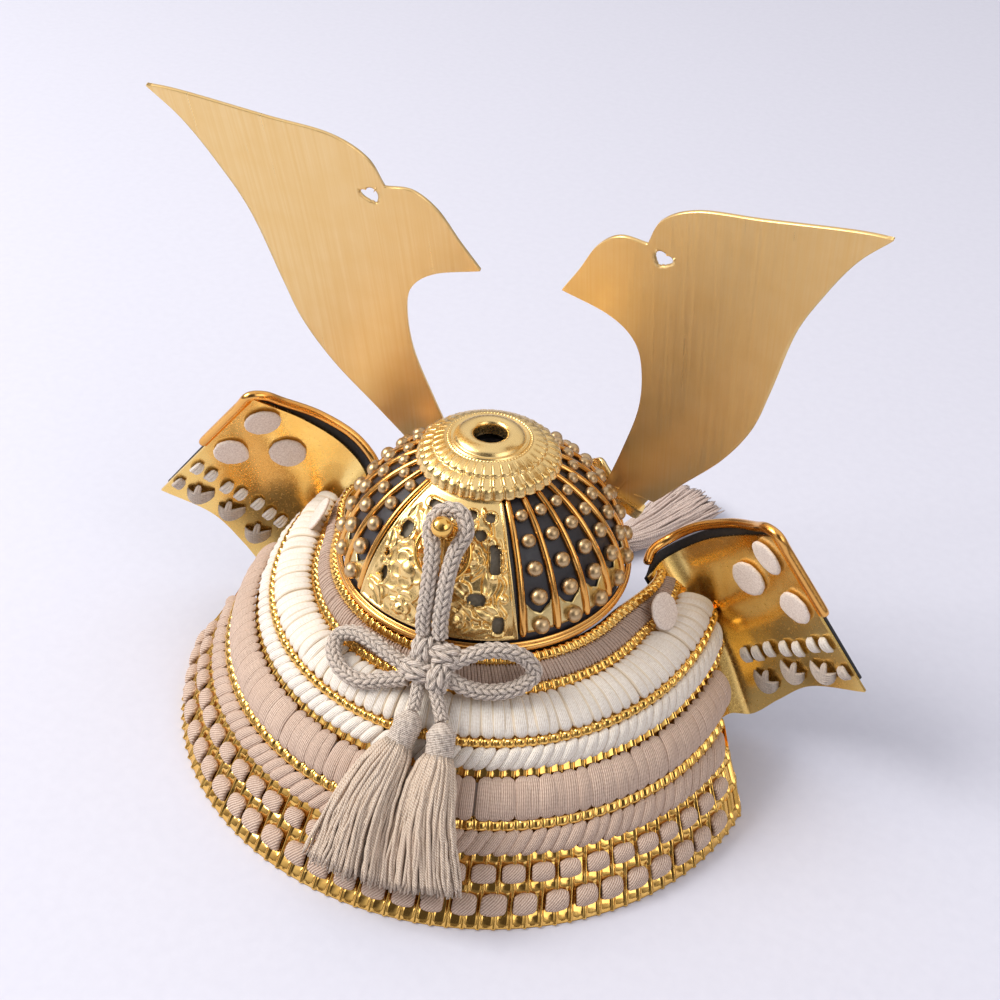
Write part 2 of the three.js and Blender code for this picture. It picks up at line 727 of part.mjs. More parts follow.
function wingSheet(point, cols, offset, thick) {
  const layer = (d) =>
    Array.from({ length: 11 }, (_, i) =>
      cols.map((v) => {
        const u = i / 10;
        const n = wingNormal(u, Math.min(Math.max(v, 0.01), 0.99));
        return point(u, v).addScaledVector(n, d);
      }),
    );
  return wall(layer(offset), layer(offset + thick));
}

const RIM_TUBE_R = 1.3;
const RIM_TUBE_DEPTH = 1.1; // in front of the plate's middle
function wingRimPath() {
  const edge = (u) => {
    const top = wingPoint(u, 0);
    const up = top.clone().sub(wingPoint(u, 0.05)).normalize();
    const rise = RIM_TUBE_R + 1.5 * GAP + BACKING_RISE * smoothstep(u, 0, 0.25);
    return top.addScaledVector(up, rise).addScaledVector(wingNormal(u, 0.01), -RIM_TUBE_DEPTH);
  };
  const corner = wingPoint(1, 0);
  const tip = wingPoint(1, 1);
  const fall = tip.clone().sub(corner).normalize();
  const n = wingNormal(0.99, 0.1);
  const out = n.clone().cross(fall);
  if (out.x < 0) out.negate();
  const side = (s) =>
    corner
      .clone()
      .addScaledVector(fall, s)
      .addScaledVector(out, RIM_TUBE_R + GAP + 1.1)
      .addScaledVector(n, -RIM_TUBE_DEPTH);
  return new THREE.CatmullRomCurve3(
    [edge(0.08), edge(0.2), edge(0.35), edge(0.55), edge(0.75), edge(0.9), edge(0.97), side(0.4), side(6), side(17), side(28.5)],
    false,
    "centripetal",
  );
}

const DISC_R = 5.1;
const DISC_THICK = 0.9;
function wingDisc(u, v) {
  const disc = new THREE.CylinderGeometry(DISC_R, DISC_R, DISC_THICK, 10).rotateX(Math.PI / 2);
  const n = wingNormal(u, v);
  const away = WING_THICK / 2 + 0.5 + DISC_THICK / 2;
  return standing(outward(disc), wingPoint(u, v).addScaledVector(n, away), n);
}
const WING_DISCS = { top: [0.9, 0.22], outer: [0.88, 0.55], inner: [0.69, 0.36] };

const plateHalf = WING_THICK / 2;
const left = {
  wing_plate: [wingSheet(wingPoint, [0, 0.5, 1], -plateHalf, WING_THICK), GOLD],
  wing_backing: [
    wingSheet(backingPoint, [0, 0.02, 0.5, 1], -plateHalf - GAP - WING_THICK, WING_THICK),
    BLACK,
  ],
  wing_rim: [tube(wingRimPath(), RIM_TUBE_R, 16, 6), GOLD],
};
for (const [name, [u, v]] of Object.entries(WING_DISCS))
  left[`wing_disc_${name}`] = [wingDisc(u, v), SUEDE];
for (const [name, [geometry, look]] of Object.entries(left)) {
  add(`${name}_left`, geometry, look);
  add(`${name}_right`, mirrored(geometry), look);
}

// A loose suede disc on the top lame, over the ear.
function lameDisc() {
  const disc = new THREE.CylinderGeometry(DISC_R, DISC_R, DISC_THICK, 10).rotateX(Math.PI / 2);
  const p = skirtPoint(0.65, 0.82, 3.7);
  const n = skirtPoint(0.65, 0.82, 4.7).sub(p).normalize();
  return standing(outward(disc), p, n);
}
const disc = lameDisc();
add("lame_disc_left", disc, SUEDE);
add("lame_disc_right", mirrored(disc), SUEDE);

// ---------------------------------------------------------------- tied cord on the back
const cordPath = (points) => through(points.map(([x, y, up]) => [x, y, RIM_Z + up]));

const HANGER = [
  // across, back, above the rim
  [-0.5, 42.8, 5.4],
  [0.1, 41.7, 8.7],
  [0.1, 39.9, 13.6],
  [0.6, 36.9, 19.7],
  [2.4, 33.4, 24.5],
  [3.6, 30.0, 28.1],
  [2.0, 27.0, 31.5],
  [-2.6, 26.4, 32.2],
  [-5.4, 29.0, 29.2],
  [-4.9, 33.0, 24.9],
  [-3.9, 36.7, 19.9],
  [-4.1, 39.8, 13.8],
  [-4.3, 41.7, 8.9],
  [-4.9, 42.8, 5.4],
];
add("cord_hanger", tube(cordPath(HANGER), CORD_R, 17), TAUPE_CORD);

// The left loop lies on the neck guard.
const LOOP_LEFT = [
  // row, across, off the surface
  [0.55, 3.4, 4.6],
  [0.3, 8.6, 3.8],
  [0.2, 14.0, 3.6],
  [0.3, 19.4, 3.6],
  [0.85, 24.6, 4.0],
  [1.45, 25.6, 4.7],
  [1.75, 21.5, 4.7],
  [1.75, 14.8, 4.7],
  [1.45, 8.0, 4.8],
  [1.05, 3.6, 5.6],
];
function onGuard([row, across, lift]) {
  const k = Math.floor(row);
  const half_width = lerp(SKIRT_ROWS[k].half_width, SKIRT_ROWS[k + 1].half_width, row - k);
  const end = lerp(SKIRT_ROWS[k].end, SKIRT_ROWS[k + 1].end, row - k);
  return skirtPoint(row, Math.asin(across / half_width) / deg(end), lift).toArray();
}
// The right loop lies across the rim.
const LOOP_RIGHT = [
  [-12.0, 44.6, 1.6],
  [-15.4, 41.2, 3.6],
  [-19.6, 38.9, 4.2],
  [-25.4, 36.6, 2.2],
  [-30.6, 34.4, -2.8],
  [-28.6, 38.8, -6.6],
  [-22.6, 43.4, -7.8],
  [-16.6, 46.6, -7.2],
  [-12.0, 47.9, -5.4],
];
add("cord_loop_left", tube(through(LOOP_LEFT.map(onGuard)), CORD_R, 11), TAUPE_CORD);
add("cord_loop_right", tube(cordPath(LOOP_RIGHT), CORD_R, 11), TAUPE_CORD);

const KNOT = vec(-4.2, 45.4, RIM_Z - 0.9);
const KNOT_OUT = vec(0, 0.78, 0.62).normalize();
function knot(middle, out, half) {
  const lobes = 4;
  const loops = [];
  for (const [height, size] of [[-0.9, 0.6], [-0.3, 1], [0.4, 0.95], [1, 0.5]]) {
    loops.push(
      Array.from({ length: 16 }, (_, k) => {
        const a = (2 * Math.PI * k) / 16;
        const r = size * (0.88 + 0.12 * Math.cos(lobes * a));
        return vec(half.wide * r * Math.cos(a), half.tall * r * Math.sin(a), half.deep * height);
      }),
    );
  }
  return standing(loft(loops), middle, out, vec(0, -1, 0.01));
}
add("cord_knot", knot(KNOT, KNOT_OUT, { wide: 6.6, tall: 6.4, deep: 3.6 }), TAUPE_CORD);

const TAIL_LEFT = [
  [-2.2, 49.6, -5.4],
  [-2.6, 51.8, -7.2],
  [-3.0, 53.8, -9.2],
];
const TAIL_RIGHT = [
  [-6.6, 49.6, -5.4],
  [-8.6, 52.0, -7.6],
  [-10.6, 54.2, -9.8],
];
add("cord_tail_left", tube(cordPath(TAIL_LEFT), CORD_R * 0.85, 2), TAUPE_CORD);
add("cord_tail_right", tube(cordPath(TAIL_RIGHT), CORD_R * 0.85, 2), TAUPE_CORD);

// A tassel: a wrapped ball and a fringe in locks, laid along a line of places with their half widths.
function tassel(stations, out) {
  const locks = 6;
  const sides = 2 * locks;
  const line = through(stations.map(({ at }) => at));
  const loops = stations.map(({ at, wide, deep, lock }, i) => {
    const along = line.getTangent(i / (stations.length - 1));
    const side = out.clone().cross(along).normalize();
    const up = along.clone().cross(side);
    return Array.from({ length: sides }, (_, k) => {
      const a = (2 * Math.PI * k) / sides;
      const r = 1 + lock * (k % 2 ? -1 : 1);
      return vec(...at)
        .addScaledVector(side, wide * r * Math.cos(a))
        .addScaledVector(up, deep * r * Math.sin(a));
    });
  });
  return loft(loops);
}

// Half widths down a tassel, from the top of its ball to the ends of its fringe.
const TASSEL_FORM = [
  { share: 0.0, wide: 1.8, deep: 1.8, lock: 0 },
  { share: 0.07, wide: 4.1, deep: 3.9, lock: 0 },
  { share: 0.2, wide: 3.4, deep: 3.2, lock: 0 },
  { share: 0.32, wide: 4.8, deep: 3.8, lock: 0.03 },
  { share: 0.65, wide: 7.0, deep: 3.8, lock: 0.05 },
  { share: 1.0, wide: 9.4, deep: 3.4, lock: 0.08 },
];
function hungTassel(points, out) {
  const line = cordPath(points);
  return tassel(
    TASSEL_FORM.map(({ share, ...half }) => ({ at: line.getPointAt(share).toArray(), ...half })),
    out,
  );
}
const TASSEL_LEFT = [
  [-3.1, 54.3, -9.7],
  [-2.0, 60.6, -15.4],
  [1.9, 72.2, -27.0],
  [3.2, 83.8, -43.8],
];
const TASSEL_RIGHT = [
  [-10.9, 54.6, -10.3],
  [-12.4, 60.2, -15.6],
  [-13.6, 71.4, -26.6],
  [-17.6, 82.2, -43.4],
];
const SLOPE_OUT = vec(0, 0.8, 0.6);
add("tassel_left", hungTassel(TASSEL_LEFT, SLOPE_OUT), TAUPE_CORD);
add("tassel_right", hungTassel(TASSEL_RIGHT, SLOPE_OUT), TAUPE_CORD);

// ---------------------------------------------------------------- chin cord
// It comes down inside the front of the rim, is tied in front and ends in two tassels.
const CHIN_LEFT = [
  [24, -24, -8.0],
  [24, -25, -16.0],
  [24, -28, -28.0],
  [23.4, -33, -40.0],
  [21.5, -41, -49.4],
  [17, -50, -51.9],
  [11, -57, -51.9],
  [6.4, -61, -51.2],
];
const CHIN_TAIL = [
  [5.4, -67.0, -51.4],
  [8.6, -69.6, -51.6],
  [12.0, -71.4, -51.0],
];
const CHIN_TASSEL = [
  [12.9, -72.0, -49.6],
  [18.6, -78.4, -49.8],
  [26.0, -90.0, -50.0],
  [36.4, -116.0, -50.5],
];
const chinCord = tube(cordPath(CHIN_LEFT), CORD_R, 9, 7);
const chinTail = tube(cordPath(CHIN_TAIL), CORD_R * 0.85, 2);
const chinTassel = hungTassel(CHIN_TASSEL, vec(0, 0, 1));
add("chin_cord_left", chinCord, BEIGE_SILK);
add("chin_cord_right", mirrored(chinCord), BEIGE_SILK);
add("chin_tail_left", chinTail, BEIGE_SILK);
add("chin_tail_right", mirrored(chinTail), BEIGE_SILK);
add("chin_tassel_left", chinTassel, BEIGE_SILK);
add("chin_tassel_right", mirrored(chinTassel), BEIGE_SILK);
add(
  "chin_knot",
  knot(vec(0, -63.5, RIM_Z - 50.0), vec(0, 0, 1), { wide: 5.6, tall: 4.6, deep: 3.2 }),
  BEIGE_SILK,
);

// ---------------------------------------------------------------- origin
// The middle of the underside of all that stands firm: the loose cord in front is left out of it.
const standingBox = new THREE.Box3();
for (const [name, mesh] of Object.entries(pieces))
  if (!/^(cord|tassel|chin)_/.test(name)) standingBox.expandByObject(mesh, true);
const middle = standingBox.getCenter(vec(0, 0, 0));
helmet.position.set(-middle.x, -middle.y, -standingBox.min.z);

export default helmet;
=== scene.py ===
# %% [markdown]
# # A miniature samurai helmet, dressed for its portrait
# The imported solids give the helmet's size and places. Each step below makes one group of its
# real surfaces, first in words and then as a grid of points. Sizes are in millimetres.

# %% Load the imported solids
import math

import bpy
import mathutils
import numpy as np
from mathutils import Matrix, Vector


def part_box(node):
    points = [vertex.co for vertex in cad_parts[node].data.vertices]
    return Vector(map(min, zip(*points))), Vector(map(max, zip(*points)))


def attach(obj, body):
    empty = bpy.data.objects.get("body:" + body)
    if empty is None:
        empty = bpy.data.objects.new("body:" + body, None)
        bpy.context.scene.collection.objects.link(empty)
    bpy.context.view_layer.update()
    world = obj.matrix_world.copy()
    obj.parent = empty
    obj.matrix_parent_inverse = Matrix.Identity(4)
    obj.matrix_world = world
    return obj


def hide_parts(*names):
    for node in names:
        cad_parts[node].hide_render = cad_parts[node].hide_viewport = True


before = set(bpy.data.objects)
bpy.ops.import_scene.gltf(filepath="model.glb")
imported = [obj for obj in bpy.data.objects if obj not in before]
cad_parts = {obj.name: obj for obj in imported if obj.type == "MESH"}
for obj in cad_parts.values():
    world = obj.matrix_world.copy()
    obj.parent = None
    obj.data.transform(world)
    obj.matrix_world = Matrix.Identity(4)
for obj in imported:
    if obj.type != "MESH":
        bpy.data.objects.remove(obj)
bpy.context.view_layer.update()

# %% [markdown]
# ## Where things are measured from
# Places are given from a point on the bowl's axis in the plane of its rim. +Z is up, -Y is the
# front and +X is the wearer's left. The rim ring's solid says where that point is.

# %% The rim's centre
RIM_R = 40.0
rim_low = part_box("rim_ring")[0]
RIM_CENTRE = np.array([0.0, rim_low[1] + RIM_R / 1000, rim_low[2] + 0.0017])
print("rim centre", RIM_CENTRE)


def metres(mm):
    """Millimetres from the rim's centre to metres in the solids' frame."""
    return np.asarray(mm, float) * 0.001 + RIM_CENTRE


# %% [markdown]
# ## Small sums that every shape uses
# A shape here is an array of points. These helpers scale directions, ease one value into another,
# and lay a smooth curve through a few places.

# %% Sums on arrays
def unit(v):
    """v divided by its length, along the last axis."""
    return v / np.maximum(np.linalg.norm(v, axis=-1, keepdims=True), 1e-12)


def ease(x, low=0.0, high=1.0):
    """0 below low, 1 above high and an S between: 3t^2 - 2t^3."""
    t = np.clip((x - low) / (high - low), 0, 1)
    return t * t * (3 - 2 * t)


def mix(a, b, t):
    """The value a share t of the way from a to b."""
    return a + (b - a) * t


def spline(points, count, bend=0.5):
    """count points on a Catmull-Rom curve whose knots are spaced by distance to the power bend."""
    p = np.asarray(points, float)
    p = np.concatenate([[2 * p[0] - p[1]], p, [2 * p[-1] - p[-2]]])
    step = np.maximum(np.linalg.norm(np.diff(p, axis=0), axis=1), 1e-6) ** bend
    t = np.concatenate([[0], np.cumsum(step)])
    share = np.linspace(0, len(points) - 1, count)
    k = np.clip(share.astype(int), 0, len(points) - 2) + 1
    s = t[k] + (share - (k - 1)) * (t[k + 1] - t[k])

    def between(a, b, pa, pb):
        return (pa * (t[b] - s)[:, None] + pb * (s - t[a])[:, None]) / (t[b] - t[a])[:, None]

    first = [between(k + i - 1, k + i, p[k + i - 1], p[k + i]) for i in range(3)]
    second = [between(k + i - 1, k + i + 1, first[i], first[i + 1]) for i in range(2)]
    return between(k, k + 1, *second)


def even(points, count):
    """count points at even distances along a polyline."""
    steps = np.linalg.norm(np.diff(points, axis=0), axis=1)
    s = np.concatenate([[0], np.cumsum(steps)])
    at = np.linspace(0, s[-1], count)
    return np.stack([np.interp(at, s, points[:, k]) for k in range(points.shape[1])], -1)


def length_of(points):
    """The length of a polyline."""
    return float(np.linalg.norm(np.diff(points, axis=0), axis=1).sum())


# %% [markdown]
# ## From arrays to meshes
# Every surface is a grid: rows one way, columns the other, and often many copies side by side. The
# corners of its faces follow from its size alone, so whole arrays make them without a loop.

# %% Faces of a grid
rng = np.random.default_rng(7)


def grid_quads(rows, cols, copies, rows_round=False, cols_round=False):
    """The four corners of each face: (i, j), (i+1, j), (i+1, j+1), (i, j+1), copy after copy."""
    i, j = np.meshgrid(
        np.arange(rows if rows_round else rows - 1),
        np.arange(cols if cols_round else cols - 1),
        indexing="ij",
    )
    i2, j2 = (i + 1) % rows, (j + 1) % cols
    quads = np.stack([i * cols + j, i2 * cols + j, i2 * cols + j2, i * cols + j2], -1)
    starts = np.arange(copies)[:, None, None] * rows * cols
    return (quads.reshape(1, -1, 4) + starts).reshape(-1, 4)


def faces_away(points, quads, point):
    """True if the quads face away from a point, on the whole."""
    a, b, c, d = (points[quads[:, k]] for k in range(4))
    return ((a + c) / 2 - point).ravel() @ np.cross(c - a, d - b).ravel() > 0


def skin(name, points, finish, body="helmet", rows_round=False, cols_round=False, caps=False,
         away=None, uv=None, keep=None, sharp=None, thick=None, painted_shade=None, replaces=()):
    """A mesh over points shaped (copies, rows, cols, 3). caps closes the first and last row of
    each copy with a fan. The faces turn away from the middle of the first copy, or from away.
    uv is (across, along), keep says which faces stay, thick adds a wall inwards, and painted_shade is
    the painted shade of each point, which darkens silk, from 0 on open ones to 1 deep between strands."""
    points = np.asarray(points, float)
    if points.ndim == 3:
        points = points[None]
    copies, rows, cols, _ = points.shape
    flat = points.reshape(-1, 3)
    quads = grid_quads(rows, cols, copies, rows_round, cols_round)
    chosen = slice(None) if keep is None else np.asarray(keep).ravel()
    quads = quads[chosen]
    layer_uv = np.zeros((len(quads), 4, 2))
    if uv is not None:
        shape = (copies, rows + rows_round, cols + cols_round)
        flat_uv = np.stack([np.broadcast_to(part, shape).ravel() for part in uv], -1)
        layer_uv = flat_uv[grid_quads(shape[1], shape[2], copies)[chosen]]
    tris = np.zeros((0, 3), int)
    if caps:
        ring = (np.arange(copies) * rows * cols)[:, None] + np.arange(cols)[None]
        last = ring + (rows - 1) * cols
        hub = len(flat) + np.arange(2 * copies)[:, None]
        flat = np.concatenate([flat, points[:, 0].mean(1), points[:, -1].mean(1)])
        fans = [
            (hub[:copies] + 0 * ring, ring, np.roll(ring, -1, 1)),
            (hub[copies:] + 0 * ring, np.roll(last, -1, 1), last),
        ]
        tris = np.concatenate([np.stack(fan, -1).reshape(-1, 3) for fan in fans])
    first = quads[: len(quads) // copies] if keep is None else quads
    middle = points[0].reshape(-1, 3).mean(0) if away is None else np.asarray(away, float)
    if away is None:
        a, b, c, d = (flat[first[:, k]] - middle for k in range(4))
        volume = (np.cross(b, c) * a + np.cross(c, d) * a).sum()
        good = volume > 0
    else:
        good = faces_away(flat, first, middle)
    if not good:
        quads, tris, layer_uv = quads[:, ::-1], tris[:, ::-1], layer_uv[:, ::-1]
    mesh = bpy.data.meshes.new(name)
    mesh.vertices.add(len(flat))
    mesh.vertices.foreach_set("co", metres(flat).ravel())
    corners = np.concatenate([quads.ravel(), tris.ravel()])
    mesh.loops.add(len(corners))
    mesh.loops.foreach_set("vertex_index", corners)
    mesh.polygons.add(len(quads) + len(tris))
    starts = np.concatenate([np.arange(len(quads)) * 4, 4 * len(quads) + np.arange(len(tris)) * 3])
    mesh.polygons.foreach_set("loop_start", starts)
    mesh.polygons.foreach_set("use_smooth", np.ones(len(starts), bool))
    layer = mesh.uv_layers.new(name="UVMap")
    cap_uv = np.zeros(len(tris) * 6)
    layer.data.foreach_set("uv", np.concatenate([layer_uv.ravel(), cap_uv]))
    # The painted shade is kept on the points as an attribute, which the silk finishes read to darken
    # their colour.
    if painted_shade is not None:
        dark = np.zeros(len(flat))
        dark[: copies * rows * cols] = np.broadcast_to(painted_shade, points.shape[:3]).ravel()
        mesh.attributes.new("painted_shade", "FLOAT", "POINT").data.foreach_set("value", dark)
    mesh.update(calc_edges=True)
    if sharp is not None:
        mesh.set_sharp_from_angle(angle=math.radians(sharp))
    mesh.materials.append(finish)
    piece = bpy.data.objects.new(name, mesh)
    bpy.context.scene.collection.objects.link(piece)
    if thick is not None:
        wall = piece.modifiers.new("wall", "SOLIDIFY")
        wall.thickness, wall.offset, wall.use_quality_normals = thick * 0.001, -1, True
    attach(piece, body)
    if replaces:
        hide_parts(*replaces)
    print(f"{name}: {len(quads) * 2 + len(tris)} triangles")
    return piece


# %% [markdown]
# ## A section carried along a path
# Cords, wires, ribs, fringe and edge tubes are all a flat section that travels along a line. The
# section's second axis keeps to a given outward direction, so nothing twists by chance.

# %% Sweeps
def circle(sides):
    """Points round a circle of radius 1."""
    a = np.linspace(0, 2 * np.pi, sides, endpoint=False)
    return np.stack([np.cos(a), np.sin(a)], -1)


def sweep(path, out, section):
    """path is (..., steps, 3), out the way that the section's second axis leans, and section
    (..., steps, sides, 2): point = path + x * (along cross out) + y * out squared up to along."""
    along = unit(np.gradient(path, axis=-2))
    side = unit(np.cross(along, out))
    up = np.cross(side, along)
    return (
        path[..., None, :]
        + section[..., 0:1] * side[..., None, :]
        + section[..., 1:2] * up[..., None, :]
    )


def carried_frame(path):
    """A direction square to a path that never spins about it, carried on from step to step."""
    along = unit(np.gradient(path, axis=0))
    start = np.cross(along[0], [0.3, 0.5, 0.8])
    out = [unit(start)]
    for direction in along[1:]:
        out.append(unit(out[-1] - direction * (out[-1] @ direction)))
    return np.array(out)


def turned(profile, angles):
    """A profile of (r, z) turned about the upright axis; angles run from the back, clockwise."""
    r, z = np.asarray(profile, float).T
    a = np.asarray(angles)[:, None]
    return np.stack([r * np.sin(a), r * np.cos(a), z + 0 * a], -1)


def full_turn(steps):
    """Angles once round."""
    return np.linspace(0, 2 * np.pi, steps, endpoint=False)


# %% [markdown]
# ## How a finish is put together
# Each finish is one Principled shader. What several finishes share, such as the grain of cast
# metal or the threads of silk, is a node group with named inputs, built once and placed in each
# with its own values. Patterns read the object's own coordinates in metres, or, where threads
# follow a strand, the piece's UV map, which is kept in millimetres.

# %% Short calls for nodes
class Graph:
    """Adds nodes to the tree of a material or of a group."""

    def __init__(self, tree):
        self.tree = tree

    def node(self, kind, inputs=None, **settings):
        """A node with its settings, and its inputs linked or set."""
        node = self.tree.nodes.new(kind)
        for key, value in settings.items():
            setattr(node, key, value)
        for key, value in (inputs or {}).items():
            if isinstance(value, bpy.types.NodeSocket):
                self.tree.links.new(value, node.inputs[key])
            else:
                node.inputs[key].default_value = value
        return node

    def noise(self, place, scale, detail=3.0, rough=0.5):
        """Soft random blotches, 0 to 1."""
        inputs = {"Vector": place, "Scale": scale, "Detail": detail, "Roughness": rough}
        return self.node("ShaderNodeTexNoise", inputs).outputs["Fac"]

    def wave(self, place, scale, twist=0.0, direction="X"):
        """Even ridges across one direction, 0.31 / scale apart, bent by noise if twist isn't 0."""
        inputs = {"Vector": place, "Scale": scale, "Distortion": twist, "Detail": 1.0}
        return self.node("ShaderNodeTexWave", inputs, bands_direction=direction).outputs["Fac"]

    def cells(self, place, scale):
        """Distance to the nearest of many scattered points, with no creases between them."""
        inputs = {"Vector": place, "Scale": scale}
        return self.node("ShaderNodeTexVoronoi", inputs, feature="SMOOTH_F1").outputs["Distance"]

    def spread(self, value, low, high, start=0.0, end=1.0):
        """value from start..end to low..high, held at both ends."""
        inputs = {"Value": value, "From Min": start, "From Max": end, "To Min": low, "To Max": high}
        return self.node("ShaderNodeMapRange", inputs).outputs["Result"]

    def maths(self, operation, a, b=0.0):
        """One sum on two values."""
        return self.node("ShaderNodeMath", {0: a, 1: b}, operation=operation).outputs[0]

    def blend(self, share, one, other):
        """A colour between two colours."""
        colour = lambda c: c if isinstance(c, bpy.types.NodeSocket) else (*c, 1)
        inputs = {0: share, 6: colour(one), 7: colour(other)}
        return self.node("ShaderNodeMix", inputs, data_type="RGBA").outputs[2]


class Finish(Graph):
    """A material: a Principled shader with constants on its sockets, and its own nodes."""

    def __init__(self, name, colour, metallic=0.0, roughness=0.5, **more):
        self.material = bpy.data.materials.new(name)
        self.material.use_nodes = True
        self.material.diffuse_color = (*colour, 1)
        super().__init__(self.material.node_tree)
        self.shader = self.tree.nodes["Principled BSDF"]
        sockets = {"Base Color": (*colour, 1), "Metallic": metallic, "Roughness": roughness}
        sockets.update({key.replace("_", " "): value for key, value in more.items()})
        for key, value in sockets.items():
            self.shader.inputs[key].default_value = value

    def place(self, source="Object", turn=0.0, scale=(1, 1, 1)):
        """Coordinates in metres, or the UV map in millimetres, turned by degrees and scaled."""
        coords = self.node("ShaderNodeTexCoord").outputs[source]
        inputs = {"Vector": coords, "Scale": scale, "Rotation": (0, 0, math.radians(turn))}
        return self.node("ShaderNodeMapping", inputs).outputs["Vector"]

    def put_on(self, colour=None, roughness=None, bumps=()):
        """Links a colour, a roughness and bumps, each a (height, strength, distance in mm)."""
        if colour is not None:
            self.tree.links.new(colour, self.shader.inputs["Base Color"])
        if roughness is not None:
            self.tree.links.new(roughness, self.shader.inputs["Roughness"])
        normal = None
        for height, strength, distance in bumps:
            inputs = {"Height": height, "Strength": strength, "Distance": distance * 0.001}
            if normal is not None:
                inputs["Normal"] = normal
            normal = self.node("ShaderNodeBump", inputs).outputs["Normal"]
        if normal is not None:
            self.tree.links.new(normal, self.shader.inputs["Normal"])
        return self.material


def shared_group(name, inputs, outputs, build):
    """A node group. inputs are {name: default}, and build(graph, sockets) returns the outputs."""
    group = bpy.data.node_groups.new(name, "ShaderNodeTree")
    kinds = {3: "NodeSocketVector", 4: "NodeSocketColor"}
    for key, value in inputs.items():
        kind = "NodeSocketFloat" if np.isscalar(value) else kinds[len(value)]
        group.interface.new_socket(key, in_out="INPUT", socket_type=kind).default_value = value
    for key, kind in outputs.items():
        group.interface.new_socket(key, in_out="OUTPUT", socket_type="NodeSocket" + kind)
    graph = Graph(group)
    sockets = graph.node("NodeGroupInput").outputs
    graph.node("NodeGroupOutput", dict(zip(outputs, build(graph, sockets))))
    print("group", name, list(inputs), "->", list(outputs))
    return group


# %% Silk threads
def build_threads(graph, given):
    """Ridges run along the strand, crossed by the picks of the weave. Colour goes from deep
    between them, a painted shade, to light on their tops, a painted highlight."""
    ridges = graph.wave(given["Strand Place"], given["Ridges"], 0.9)
    picks_apart = graph.maths("MULTIPLY", given["Ridges"], 0.8)
    picks = graph.wave(given["Strand Place"], picks_apart, 1.4, "Y")
    ridges = graph.maths("MULTIPLY", ridges, graph.spread(picks, 0.72, 1))
    specks = graph.noise(given["Body Place"], 1500, 4, 0.7)
    broad = graph.noise(given["Body Place"], 150, 2)
    tone = graph.blend(graph.spread(specks, 0, 1, 0.3, 0.66), given["Deep"], given["Middle"])
    # Painted highlight on the tops of the ridges, with painted shade left between them.
    tone = graph.blend(graph.spread(ridges, 0, 0.9, 0.15, 0.9), tone, given["Light"])
    tone = graph.blend(graph.spread(broad, 0, 0.4, 0.35, 0.7), tone, given["Middle"])
    rough = graph.spread(specks, 0.62, 0.9)
    return tone, rough, ridges, specks


THREADS = shared_group(
    "silk_threads",
    {"Strand Place": (0.0, 0.0, 0.0), "Body Place": (0.0, 0.0, 0.0), "Ridges": 1.0,
     "Deep": (0.2, 0.2, 0.2, 1.0), "Middle": (0.5, 0.5, 0.5, 1.0), "Light": (0.8, 0.8, 0.8, 1.0)},
    {"Colour": "Color", "Roughness": "Float", "Ridges": "Float", "Specks": "Float"},
    build_threads,
)


def silk(name, deep, middle, light, apart=0.35, turn=0.0, height=0.1, edge=None, half=1.2):
    """Silk with threads apart millimetres from each other, at an angle to its strand, darkened by
    the points' painted shade. A tape may have an edge colour, a painted shade shown beyond half of its
    width."""
    look = Finish(name, middle, roughness=0.75, Sheen_Weight=0.2, Sheen_Roughness=0.45,
                  Specular_IOR_Level=0.25)
    look.shader.inputs["Sheen Tint"].default_value = (*light, 1)
    threads = look.node("ShaderNodeGroup", {
        "Strand Place": look.place("UV", turn), "Body Place": look.place(), "Ridges": 0.314 / apart,
        "Deep": (*deep, 1), "Middle": (*middle, 1), "Light": (*light, 1),
    }, node_tree=THREADS)
    colour = threads.outputs["Colour"]
    # Painted shade: the colour darkens towards 0.4 times the deep colour where the points' painted
    # shade is high, between and under strands.
    painted_shade = look.node("ShaderNodeAttribute", attribute_name="painted_shade").outputs["Fac"]
    colour = look.blend(painted_shade, colour, tuple(0.4 * part for part in deep))
    # Painted shade along a tape's edges: beyond half of its width the colour turns to edge.
    if edge is not None:
        across = look.node("ShaderNodeSeparateXYZ", {0: look.place("UV")}).outputs["X"]
        beyond = look.spread(look.maths("ABSOLUTE", across), 0, 0.85, half - 0.12, half + 0.08)
        colour = look.blend(beyond, colour, edge)
    bumps = [(threads.outputs["Ridges"], 0.9, height), (threads.outputs["Specks"], 0.5, 0.07)]
    return look.put_on(colour, threads.outputs["Roughness"], bumps)


# %% [markdown]
# ## The camera
# The helmet is seen from behind and above, a little to its right, with a slight roll. The lens is
# a short telephoto. It comes first, because the cords are measured against what it sees.

# %% Camera
AZIMUTH, ELEVATION, ROLL = (math.radians(v) for v in (198.98, 37.44, 3.35))
DISTANCE, FOCAL_LENGTH = 406.2, 53.88


def camera_axes():
    """Right, up and backwards of the camera, from its azimuth, elevation and roll."""
    back = np.array([
        math.sin(AZIMUTH) * math.cos(ELEVATION),
        -math.cos(AZIMUTH) * math.cos(ELEVATION),
        math.sin(ELEVATION),
    ])
    right = unit(np.cross(-back, [0, 0, 1.0]))
    up = np.cross(back, right)
    c, s = math.cos(ROLL), math.sin(ROLL)
    return right * c + up * s, up * c - right * s, back


